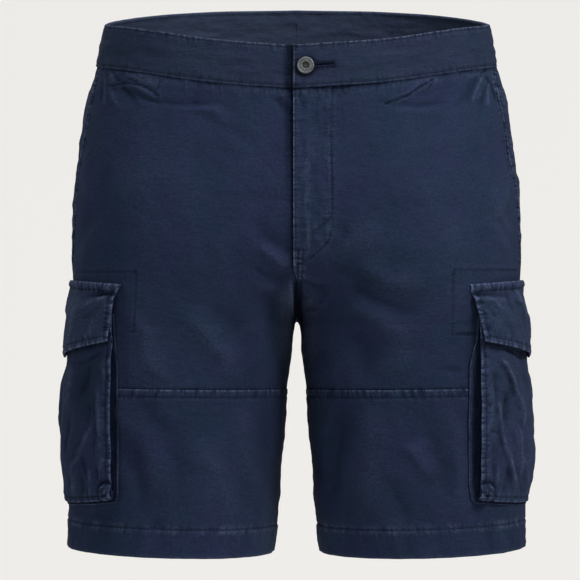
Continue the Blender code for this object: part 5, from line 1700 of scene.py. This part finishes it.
def flap_edge(step):
    return FLAP_POINT_Z + (FLAP_CORNER_Z - FLAP_POINT_Z) * np.abs(step)


def from_side(q, z):
    """Points and outward directions beside the side seam."""
    return beside(q, z)


# Painted shade in the hollows of the faces: middle in u and w, half width, half height, strength.
SHADES = {
    "left": ((191.0, -92.0, 5.0, 20.0, 0.30), (204.0, -70.0, 5.0, 12.0, 0.20), (186.0, -174.0, 5.0, 12.0, 0.08)),
    "right": ((-193.0, -92.0, 10.0, 25.0, 0.50), (-180.0, -130.0, 5.0, 22.0, 0.20), (-201.0, -150.0, 6.0, 16.0, 0.25)),
}
EDGE_IN = {"left": 0.5, "right": -2.0}
FLAP_SLANT = {"left": (6.0, -4.5), "right": (-1.2, -6.5)}  # the front edge, under its tip and at its foot


def face_surface(side, step, t):
    """step is across, -1 to 1 from back to front; t is down, 0 to 1."""
    z = POCKET_TOP_Z + t * (pocket_bottom(step) - POCKET_TOP_Z)
    half = pocket_half(z)
    q = half * step
    sx = 1.0 if side == "left" else -1.0
    # Sewn by hand and eye: the front edge wanders.
    ahead = np.maximum(step, 0) ** 3
    q = q + ahead * (EDGE_IN[side] + 1.5 * noise(np.stack([z / 26.0, z * 0 + sx * 2.2, z * 0], -1), 44))
    p, n = from_side(q, z)
    off = face_off(q, z, half)
    to_edge = half * (1 - np.abs(step))
    to_foot = z - pocket_bottom(step)
    edge = np.minimum(to_edge, to_foot)
    u, w = seen_from(p + n * off[..., None], sx, "front")
    shown = smoothstep(q, 10.0, 26.0)
    ahead = creases(FACE_CREASES[side], u, w, 20 + sx, 0.66, 1.25, 0.14)
    behind = creases(POCKET_CREASES[side], q, z, 21 + sx, 0.75, 1.3, 0.16)
    main, crest, foot = (one * shown + other for one, other in zip(ahead, behind))
    main = 1.6 * main
    fine = main * 1.0
    at_side = 1 - 0.5 * bell(q, 24.0)  # smooth where it rounds the side
    fine = fine + 1.7 * at_side * noise(np.stack([q / 36.0, z / 52.0, z * 0 + sx], -1), 14)
    fine = fine + 1.0 * at_side * noise(np.stack([q / 15.0, z / 24.0, z * 0 + sx], -1), 15)
    fine = fine + 0.45 * noise(np.stack([q / 7.0, z / 9.0, z * 0 + sx], -1), 16)
    fine = fine * smoothstep(edge, -2.0, 14.0)
    # Gathers along the foot and pulls along both edges.
    over_foot, over_edge = np.maximum(to_foot - 2, 0), np.maximum(to_edge - 2, 0)
    fine = fine + 1.5 * ripple(q / 9.0, 61 + sx, to_foot / 24) * np.exp(-over_foot / 14.0) * smoothstep(to_foot, -1, 4)
    fine = fine + 0.9 * ripple(z / 10.5, 63 + sx, to_edge / 24) * np.exp(-over_edge / 9.0) * smoothstep(to_edge, -1, 4)
    r = Relief(z.shape)
    # Paling on the creases' crests is rubbed wear and painted highlight; dark at their steep feet is painted shade;
    # raised relief gets painted light and sunk relief painted shade; the even paling of the left face is painted light
    # on the side the light comes from.
    inland = smoothstep(edge, 1.0, 9.0)
    r.add(off + fine, wear=0.80 * inland * crest + 0.05 * np.clip(fine, 0, 4) + (0.13 if side == "left" else 0.02))
    r.add(dark=0.55 * inland * foot + 0.07 * np.clip(-fine, 0, 4))
    for u0, w0, wide, tall, much in SHADES[side]:
        r.add(dark=much * shown * np.exp(-(((u - u0) / wide) ** 2) - ((w - w0) / tall) ** 2))
    # Sunk under the flap's edge, with painted shadow there.
    under_flap = flap_edge(step) - z
    ahead = smoothstep(np.abs(q), 14, 44)
    r.add(-1.3 * ahead * smoothstep(under_flap, -6, 0) * (1 - smoothstep(under_flap, 4, 16)), dark=0.7 * bell(under_flap - 1.0, 3.8 if side == "right" else 2.2))
    along = to_edge < to_foot
    r.seam(edge - 4.6, 0.4, "gather_h", 0.0, 3.0, 1.0, 0.25, 0.6, 0.05)
    band = smoothstep(edge, -1, 1) * (1 - smoothstep(edge, 5, 11))
    r.add(gather_v=np.where(along, 0.95 * band, 0), gather_h=np.where(along, 0, 0.95 * band), wear=0.02 * band)
    # Knotted corners, where all the layers meet, with painted highlight on the swirl's ridges and painted shade in its
    # hollows and round its rim.
    across, up = to_edge - 6.4, to_foot - 7.0
    corner = np.hypot(across, up)
    turn = np.arctan2(up, across)
    swirl = np.sin(2.0 * turn + corner * 0.95)
    r.add(4.4 * (1 - smoothstep(corner, 4.0, 9.5)) + 1.3 * swirl * bell(corner, 7.0) - 1.8 * bell(corner - 10.2, 2.0))
    r.add(wear=0.7 * bell(corner - 3.0, 4.5) * np.clip(0.3 + 0.9 * swirl, 0, 1))
    r.add(dark=1.0 * bell(corner - 9.8, 1.7) + 0.8 * bell(corner, 7.0) * np.clip(-0.1 - swirl, 0, 1))
    r.add(wear=0.85 * bell(edge - 0.5, 0.8))
    return (p, n) + r.done() + (q, z, edge)


def make_face(side):
    cells = positions(1.0 * 211.0, coarse=1.65)
    step = cells / 211.0 * 2 - 1
    rows = positions(171.0, coarse=1.65, start_round=False) / 171.0
    ss, tt = np.meshgrid(step, rows)
    p, n, off, marks, q, z, edge = face_surface(side, ss, tt)
    f = edge_round((np.maximum(edge, 0),), 0.75)
    outer, inner = two_layers(p, n, off, np.full(q.shape, 1.0), f)
    uv = np.stack([q + 71.0, z + 3.0], -1) * 0.01
    made = shell(f"cloth_cargo_face_{side}", outer, inner, side, "pocket", attrs=marks, uv=uv)
    PIECES[f"cargo_face_{side}"] = made
    for inset in (4.6,):
        line = []
        for t in np.linspace(0.1, 1.0, 150):
            z = POCKET_TOP_Z + t * (POCKET_BOTTOM_Z - POCKET_TOP_Z)
            line.append((1 - inset / float(pocket_half(z)), t))
        line = [(s, t) for s, t in line if (1 - t) * 171 > inset]
        end = line[-1]
        foot = [(s, 1 - inset / 171.0) for s in np.linspace(end[0], -end[0], 170)[1:-1]]
        path = line + foot + [(-s, t) for s, t in reversed(line)]
        s_line, t_line = np.array(path).T
        p, n, off, *_ = face_surface(side, s_line, t_line)
        stitches(f"cargo_face_{side}", side, p + n * off[:, None], n)


def flap_surface(side, step, t):
    high = FLAP_TOP_Z - 4.0 * step * step
    z = high + t * (flap_edge(step) - high)
    wide = flap_half(side, z + 4.0 * step * step)
    sx = 1.0 if side == "left" else -1.0
    upper, foot = FLAP_SLANT[side]
    slant = (upper + (foot - upper) * np.clip((FLAP_TOP_Z - 9.0 - z) / 42.0, 0, 1)) * smoothstep(FLAP_TOP_Z - z, 5.0, 12.0)
    q = wide * step + slant * np.maximum(step, 0) ** 3
    p, n = from_side(q, z)
    off = flap_off(q, z, FLAP_HALF) + 1.6 * smoothstep(t, 0.55, 1.0) * smoothstep(np.abs(q), 8, 40)
    to_edge, to_top, to_foot = wide * (1 - np.abs(step)), high - z, (z - flap_edge(step)) * 0.985
    u, w = seen_from(p + n * off[..., None], sx, "front")
    ahead = creases(LID_CREASES[side], u, w, 30 + sx, 0.75, 1.25, 0.14)
    behind = creases(FLAP_CREASES[side], q, z, 31 + sx, 0.75, 1.3, 0.16)
    main, crest, foot = (one * smoothstep(q, 10.0, 26.0) + other for one, other in zip(ahead, behind))
    main = 1.3 * main
    fine = main * 1.0
    at_side = 1 - 0.55 * bell(q, 24.0)
    fine = fine + 1.3 * at_side * noise(np.stack([q / 28.0, z / 22.0, z * 0 + sx], -1), 18)
    fine = fine + 0.8 * at_side * noise(np.stack([q / 10.0, z / 9.0, z * 0 + sx], -1), 19)
    other = np.minimum(to_edge, to_foot)
    fine = fine * smoothstep(to_top, 6.0, 14.0) * (0.35 + 0.65 * smoothstep(other, 0.0, 9.0))
    fine = fine + 0.6 * ripple(q / 8.5, 71 + sx, to_foot / 20) * np.exp(-np.abs(to_foot - 4) / 6.0)
    fine = fine + 0.5 * ripple(q / 8.5, 73 + sx, to_top / 20) * np.exp(-np.abs(to_top - 6) / 5.0)
    r = Relief(z.shape)
    inland = smoothstep(to_top, 6.0, 10.0) * smoothstep(other, 1.0, 7.0)
    # Paling on the creases' crests is rubbed wear and painted highlight, over an even paling that is stronger on the
    # right flap; dark at the creases' feet and in sunk relief is painted shade, with painted light on raised relief.
    r.add(off + fine, wear=(0.15 if side == "left" else 0.24) + 0.70 * inland * crest + 0.04 * np.clip(fine, 0, 3))
    r.add(dark=0.45 * inland * foot + 0.05 * np.clip(-fine, 0, 3))
    along = to_edge < to_foot
    # Its top: a puffed band between the pressed edge and the stitching.
    band = smoothstep(to_top, -1, 1) * (1 - smoothstep(to_top, 6, 9.5))
    r.add(0.8 * np.sin(np.clip(to_top / 7.0, 0, 1) * math.pi), gather_h=1.1 * band, wear=0.04 * band)
    r.seam(to_top - 6.6, 0.6, "gather_h", 0.4, 4.0, smoothstep(other, 1.0, 4.0), 0.2, 0.7, 0.05)
    r.seam(other - 5.2, 0.4, "gather_h", 0.0, 3.0, smoothstep(to_top, 5, 9), 0.3, 0.6, 0.05)
    band = smoothstep(other, -1, 1) * (1 - smoothstep(other, 5.5, 11)) * smoothstep(to_top, 7, 12)
    r.add(gather_v=np.where(along, 1.0 * band, 0), gather_h=np.where(along, 0, 1.0 * band), wear=0.03 * band)
    # The top corner is pinched: the band stands over a sharp fold that runs inwards, with painted shadow in the fold
    # and painted highlight on the swell below it.
    tuck = to_top - 8.6 - 0.10 * to_edge
    on = smoothstep(np.sign(step) * step, 0.55, 0.95)
    r.add(on * (-2.0 * bell(tuck, 1.7) + 1.2 * bell(tuck - 4.0, 2.6)), dark=on * 0.9 * bell(tuck, 1.5), wear=on * 0.35 * bell(tuck - 3.6, 1.4))
    r.add(wear=0.8 * bell(other - 0.6, 1.0) + 0.6 * bell(to_top - 0.6, 1.0))
    return (p, n) + r.done() + (q, z, (to_edge, to_top, to_foot))


def make_flap(side):
    step = positions(231.0, coarse=1.7) / 231.0 * 2 - 1
    rows = positions(62.0, coarse=1.6) / 62.0
    ss, tt = np.meshgrid(step, rows)
    p, n, off, marks, q, z, edges = flap_surface(side, ss, tt)
    f = edge_round([np.maximum(e, 0) for e in edges], 1.0)
    outer, inner = two_layers(p, n, off, np.full(q.shape, 2.0), f)
    uv = np.stack([q + 31.0, z + 47.0], -1) * 0.01
    made = shell(f"cloth_cargo_flap_{side}", outer, inner, side, "pocket", attrs=marks, uv=uv)
    PIECES[f"cargo_flap_{side}"] = made
    inset = 5.2
    line = [(1 - inset / 115.6, t) for t in np.linspace(0.19, 1.0, 60)]
    line = [(s, t) for s, t in line if (1 - t) * 53.0 > inset]
    foot = [(s, 1 - inset / (70.0 - 21.0 * abs(s))) for s in np.linspace(line[-1][0], -line[-1][0], 180)[1:-1]]
    path = line + foot + [(-s, t) for s, t in reversed(line)]
    s_line, t_line = np.array(path).T
    p, n, off, *_ = flap_surface(side, s_line, t_line)
    stitches(f"cargo_flap_{side}", side, p + n * off[:, None], n)
    s_line = np.linspace(0.95, -0.95, 170)
    t_line = 6.6 / (70.0 - 17.5 * np.abs(s_line))
    p, n, off, *_ = flap_surface(side, s_line, t_line)
    stitches(f"cargo_flap_{side}", side, p + n * off[:, None], n)


def gusset_path():
    """Points round the pocket's edge: q, z, and the way out of the pocket."""
    path = []
    corner = 3.0
    for z in np.arange(POCKET_TOP_Z - 2.0, POCKET_BOTTOM_Z + 7.5 + corner, -2.6):
        path.append((float(pocket_half(z)), z, 1.0, 0.0))
    low = float(pocket_bottom(1.0)) + 0.5
    wide = float(pocket_half(low + corner))
    for turn in np.linspace(0, math.pi / 2, 6)[1:-1]:
        path.append((
            wide - corner * (1 - math.cos(turn)), low + corner * (1 - math.sin(turn)), math.cos(turn), -math.sin(turn)
        ))  # fmt: skip
    for q in np.linspace(wide - corner, 0.0, 42):
        path.append((q, float(pocket_bottom(q / wide)) + 0.5, 0.0, -1.0))
    return np.array(path + [(-q, z, -along, down) for q, z, along, down in reversed(path[:-1])])


FLANGE = {"left": (7.0, 3.4), "right": (2.4, 3.4)}


def make_gusset(side):
    """The bellows strip: a flange stitched to the leg, a fold tucked in under the
    pocket's edge, and back out to the edge of the face."""
    path = gusset_path()
    run = np.append(0, np.cumsum(np.hypot(np.diff(path[:, 0]), np.diff(path[:, 1]))))
    sx = 1.0 if side == "left" else -1.0
    # Out of the pocket's edge, and share of the height to the face: the middle of
    # the strip, from its flange on the leg to the face's edge.
    shape = smooth_through([0, 1, 2, 3, 4, 5, 6, 7], [3.2, 1.4, -0.6, -4.4, -6.6, -4.6, -1.2, -0.5])
    climb = smooth_through([0, 1, 2, 3, 4, 5, 6, 7], [0.0, 0.0, 0.06, 0.22, 0.5, 0.74, 0.92, 1.0])
    k = np.linspace(0, 7, 22)
    out = shape(k)[:, None] * np.ones(len(run))[None, :]
    # The flange: wider on one side than the other, and drawn in under the flap.
    ahead = (path[:, 0] > 60) * 1.0
    reach = FLANGE[side][0] * ahead + FLANGE[side][1] * (1 - ahead)
    reach = np.where(path[:, 3] < -0.5, 2.8, reach) * smoothstep(-path[:, 1], 262.0, 284.0) + 0.5
    reach = np.convolve(np.pad(reach, 4, mode="edge"), np.ones(9) / 9, mode="valid")
    out = out + (reach - 3.2)[None, :] * bell(k, 1.3)[:, None]
    up = climb(k)[:, None] * np.ones(len(run))[None, :]
    wob = ripple(run / 12.0, 81 + sx)[None, :] * np.sin(k / 7 * math.pi)[:, None]
    out = out + 0.8 * wob
    q = path[None, :, 0] + path[None, :, 2] * out + EDGE_IN[side] * (ahead * (np.abs(path[:, 2]) > 0.5))[None, :]
    z = path[None, :, 1] + path[None, :, 3] * out
    high = face_off(path[:, 0], path[:, 1], pocket_half(path[:, 1]))[None, :] - 0.9
    low = 1.15 + thigh_lift(z)
    off = low + up * (high - low) + 0.25 * ripple(run / 7.0, 83 + sx)[None, :] * (1 - up)
    p, n = from_side(q, z)
    centre = p + n * off[..., None]
    # Across the strip's own thickness.
    along = np.gradient(centre, axis=1)
    over = np.gradient(centre, axis=0)
    side_way = unit(np.cross(along, over))
    d = np.minimum(k, 7 - k)[:, None] * 1.6
    ends = np.minimum(run, run[-1] - run)[None, :]
    f = edge_round((np.broadcast_to(d, out.shape), np.broadcast_to(ends, out.shape)), 0.45)
    nothing = np.zeros_like(out)
    from_edge = reach[None, :] - out
    # The flange's edge is rubbed pale; the fold down to the face gets painted shadow.
    marks = {
        "wear": np.clip(0.6 * bell(from_edge - 0.2, 0.8) * (up < 0.05), 0, 1),
        "dark": np.clip(smoothstep(from_edge, 0.9, 2.2) * np.where(reach > 5, smoothstep(from_edge, 2.6, 3.8), 1.0)[None, :], 0, 1) * (1 - smoothstep(up, 0.93, 1.0)) * (0.95 + 0.12 * ripple(run / 11.0, 85, 0.0)[None, :]),
        "gather_h": nothing + 0.2,
        "gather_v": nothing + 0.55 * (up < 0.1),
    }
    outer = centre + side_way * (0.45 * f)[..., None]
    inner = centre - side_way * (0.45 * f)[..., None]
    uv = np.stack([np.broadcast_to(run[None, :], out.shape), k[:, None] * 2.6 + np.zeros_like(out)], -1) * 0.01
    made = shell(f"cloth_cargo_gusset_{side}", outer, inner, side, "pocket", attrs=marks, uv=uv)
    PIECES[f"cargo_gusset_{side}"] = made
    for row in (1.0, 3.7) if side == "left" else (1.3,):
        inset = reach - row
        q = path[:, 0] + path[:, 2] * inset
        z = path[:, 1] + path[:, 3] * inset
        p, n = from_side(q, z)
        lift = 1.6 + thigh_lift(z) + 0.25 * ripple(run / 7.0, 83 + sx)
        stitches(f"cargo_gusset_{side}", side, p + n * lift[:, None], n)


# --------------------------------------------------------------------- button
def make_button():
    """A turned metal shank button: a thin rolled rim round a nearly flat face, and a
    sunk centre."""
    t, v = np.array([BUTTON_X]), np.array([BAND_TALL / 2])
    p, n, off, _ = band_surface("left", t, v)
    front_full = float(length("front", 0.0))
    z = band_bottom("front", BUTTON_X / front_full) + BAND_TALL / 2
    p, n = place("front", np.array(BUTTON_X / front_full * float(length("front", z))), np.array(z))
    foot = p + n * (BAND_PROUD + SEAM)
    cap = 2.4 + 0.2 + SEAM
    r = BUTTON_R
    profile = (
        (0.01, 0.0, 0.0), (1.1, 0.0, 0.0), (1.1, cap + 0.2, 0.0), (3.4, cap + 0.15, 0.0), (r - 1.6, cap + 0.2, 0.0),
        (r - 0.7, cap + 0.45, 0.1), (r - 0.2, cap + 0.9, 0.4), (r, cap + 1.5, 0.7), (r - 0.15, cap + 2.0, 0.9),
        (r - 0.45, cap + 2.4, 1.0), (r - 0.8, cap + 2.56, 1.0), (r - 1.15, cap + 2.52, 1.0), (r - 1.5, cap + 2.36, 0.8),
        (r - 1.8, cap + 2.26, 0.6), (r - 2.3, cap + 2.3, 0.7), (r - 2.9, cap + 2.38, 0.75), (r - 3.5, cap + 2.42, 0.75),
        (r - 4.1, cap + 2.4, 0.75), (3.05, cap + 2.3, 0.6), (2.8, cap + 2.08, 0.25), (2.62, cap + 1.75, 0.0),
        (2.45, cap + 1.5, 0.0), (2.1, cap + 1.4, 0.05), (1.6, cap + 1.44, 0.15), (1.1, cap + 1.5, 0.25),
        (0.5, cap + 1.54, 0.3), (0.01, cap + 1.55, 0.3),
    )  # fmt: skip
    across = unit(np.cross(n, (0.0, 0.0, 1.0)))
    up = np.cross(across, n)
    sides = 72
    turn = np.arange(sides + 1) * 2 * math.pi / sides
    radii, heights, rubbed = (np.array([row[i] for row in profile]) for i in range(3))
    beads = np.where((radii > 3.2) & (radii < r - 2.0), 1.0, 0.0)[:, None] * 0.03 * np.cos(turn * 9)[None, :]
    ring = (
        foot
        + n * (heights[:, None] + beads)[..., None]
        + radii[:, None, None] * (across * np.cos(turn)[None, :, None] + up * np.sin(turn)[None, :, None])
    )
    points = ring[:, :-1].reshape(-1, 3) * 0.001
    rows = len(profile)
    faces = []
    for i in range(rows - 1):
        for j in range(sides):
            k = (j + 1) % sides
            faces.append((i * sides + j, i * sides + k, (i + 1) * sides + k, (i + 1) * sides + j))
    faces.append(tuple(range(sides - 1, -1, -1)))
    faces.append(tuple((rows - 1) * sides + j for j in range(sides)))
    volume = 0.0
    for face in faces[:-2]:
        a, b, c, d = (points[k] for k in face)
        volume += a @ np.cross(b, c) + a @ np.cross(c, d)
    if volume < 0:
        faces = [face[::-1] for face in faces]
    mesh = bpy.data.meshes.new("shank_button")
    mesh.from_pydata(points.tolist(), [], faces)
    mesh.shade_smooth()
    layer = mesh.attributes.new("wear", "FLOAT", "POINT")
    layer.data.foreach_set("value", np.repeat(rubbed, sides).astype(np.float32))
    mesh.materials.append(LOOKS["metal"])
    made = bpy.data.objects.new("shank_button", mesh)
    bpy.context.scene.collection.objects.link(made)
    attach(made, "root")
    PIECES["button"] = made


# ----------------------------------------------------------- panels' stitches
def find_front(line, step=1.1):
    """Arc length and height on the front of points given as u and w."""
    line = np.asarray(line, float)
    run = np.append(0, np.cumsum(np.hypot(*np.diff(line, axis=0).T)))
    at = np.linspace(0, run[-1], max(int(run[-1] / step), 2) + 1)
    u, w = np.interp(at, run, line[:, 0]), np.interp(at, run, line[:, 1])
    found = []
    for uu, ww in zip(np.abs(u), w):
        y = -100.0
        for _ in range(5):
            k = EYE / (EYE + y)
            z, x = ww / k - 220.0, uu / k
            xs, ys, rs = section("front", z)
            a = np.interp(x, xs, rs)
            y = np.interp(a, rs, ys)
        found.append((a, z))
    a, z = np.array(found).T
    return a * np.where(u * np.sign(line[-1, 0] + line[0, 0] or 1) < 0, -1, 1), z


def sew_front(side, a, z, lower=False, **how):
    p, n, height, _, _ = front_surface(side, a, z, lower)
    owner = f"front_lower_{side}" if lower else f"front_upper_{side}"
    stitches(owner, side, p + n * height[:, None], n, **how)


def sew_panels(side):
    # Beside the on-seam pocket's mouth, and below it beside the side seam.
    z = np.arange(-24.0, -204.0, -1.2)
    for d in (0.0, -6.4):
        sew_front(side, length("front", z) - INSET[side](z) - d, z)
    # The thigh seam's row and the hem's row.
    share = np.linspace(0.004, 0.996, 300)
    z = thigh_z(share) - 6.4
    sew_front(side, share * length("front", z), z, lower=True)
    for face in ("front", "back"):
        z = np.full(share.shape, -430.0)
        for _ in range(3):
            p, _ = place(face, share * length(face, z), z)
            z = hem_z(np.abs(p[:, 0])) + HEM_DEPTH
        a = share * length(face, z)
        if face == "front":
            sew_front(side, a, z, lower=True)
        else:
            p, n, height, _, _ = back_surface(side, a, z)
            stitches(f"back_{side}", side, p + n * height[:, None], n)
    for line in SHORT_LINES[side]:
        a, z = find_front(line)
        sew_front(side, a, z)
    for line in SHORT_TACKS[side]:
        a, z = find_front(line, 0.8)
        sew_front(side, a, z, pitch=2.4)
    a, z = find_front([row for row in BOX_LINES[side]])
    sew_front(side, a, z)
    if side == "left":
        a, z = find_front(FLY_LINE)
        sew_front(side, a, z)
        a, z = find_front(((-2.2, 36.6), (9.4, 36.8)), 0.8)
        sew_front(side, a, z, pitch=1.9)
        z = np.arange(-50.0, -196.0, -1.2)
        sew_front(side, front_first(side, z) + 1.9, z, pitch=3.0)
        z = np.arange(-185.0, -212.0, -1.2)
        for at_a in RISE_ROWS:
            sew_front(side, np.full(z.shape, at_a), z)
        levels, _ = rise_levels("back", 330)
        levels = levels[(levels < -6.0) & (levels > CROTCH_Z + 3)]
        for d in (1.8, 7.6):
            z = levels
            p, n, height, _, _ = back_surface(side, np.full(z.shape, d), z)
            stitches("back_left", side, p + n * height[:, None], n)


for side in ("left", "right"):
    make_fronts(side)
    make_back(side)
    make_band(side)
    make_face(side)
    make_flap(side)
    make_gusset(side)
    sew_panels(side)
make_button()
threads = make_threads()

# Hide the imported solids that these pieces stand in for.
for name, piece in PIECES.items():
    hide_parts(name)
    if name == "button":
        continue
    kind, side = name.rsplit("_", 1)


# ---------------------------------------------------------------------- stage
def plain_look(name, colour, glow):
    look = bpy.data.materials.new(name)
    look.use_nodes = True
    shader = look.node_tree.nodes["Principled BSDF"]
    shader.inputs["Base Color"].default_value = tuple(0.45 * c for c in colour) + (1.0,)
    shader.inputs["Roughness"].default_value = 0.9
    shader.inputs["Specular IOR Level"].default_value = 0.1
    shader.inputs["Emission Color"].default_value = (*colour, 1.0)
    shader.inputs["Emission Strength"].default_value = glow
    return look


def make_stage():
    """A pale floor that sweeps up into a backdrop."""
    low, far, bend = -4.1, 5.4, 2.2
    profile = [(-9.0, low), (far - bend, low)]
    for turn in np.linspace(0, math.pi / 2, 16)[1:]:
        profile.append((far - bend + bend * math.sin(turn), low + bend * (1 - math.cos(turn))))
    profile.append((far, 7.0))
    points, faces = [], []
    for x in (-11.0, 11.0):
        points += [(x, y, z) for y, z in profile]
    count = len(profile)
    for i in range(count - 1):
        faces.append((i, i + 1, count + i + 1, count + i))
    mesh = bpy.data.meshes.new("floor")
    mesh.from_pydata(points, [], faces)
    mesh.shade_smooth()
    mesh.materials.append(plain_look("pale_floor", (0.86, 0.844, 0.816), 0.755))
    floor = bpy.data.objects.new("floor", mesh)
    bpy.context.scene.collection.objects.link(floor)


def area_light(name, at, to, size, power, colour=(1, 1, 1)):
    data = bpy.data.lights.new(name, "AREA")
    data.shape = "RECTANGLE"
    data.size, data.size_y = size
    data.energy = power
    data.color = colour
    lamp = bpy.data.objects.new(name, data)
    bpy.context.scene.collection.objects.link(lamp)
    lamp.location = at
    from mathutils import Vector

    lamp.rotation_euler = (Vector(to) - Vector(at)).to_track_quat("-Z", "Y").to_euler()
    return lamp


make_stage()
area_light("key", (1.9, -1.55, 1.8), (0, 0, -0.2), (0.7, 0.7), 66.0)
area_light("rake", (0.15, -0.75, 2.0), (0, -0.1, -0.25), (1.2, 0.4), 27.0)
area_light("fill", (-2.4, -1.6, 0.5), (0, 0, -0.2), (1.2, 1.2), 10.0, (0.92, 0.96, 1.0))
area_light("front", (0.4, -3.3, 0.25), (0, 0, -0.2), (1.0, 1.0), 12.0)
area_light("back_fill", (-0.9, 2.3, 1.7), (0, 0, -0.2), (1.4, 1.0), 62.0)

world = bpy.data.worlds.new("studio")
world.use_nodes = True
world.node_tree.nodes["Background"].inputs["Color"].default_value = (0.93, 0.96, 1.0, 1.0)
world.node_tree.nodes["Background"].inputs["Strength"].default_value = 0.18
bpy.context.scene.world = world
bpy.context.scene.view_settings.view_transform = "Standard"

lens = bpy.data.cameras.new("camera")
lens.lens, lens.sensor_width = 165.5, 36.0
camera = bpy.data.objects.new("camera", lens)
camera.location = (-0.0061, -2.4, -0.220)
camera.rotation_euler = (math.radians(90), 0, 0)
bpy.context.scene.collection.objects.link(camera)
bpy.context.scene.camera = camera
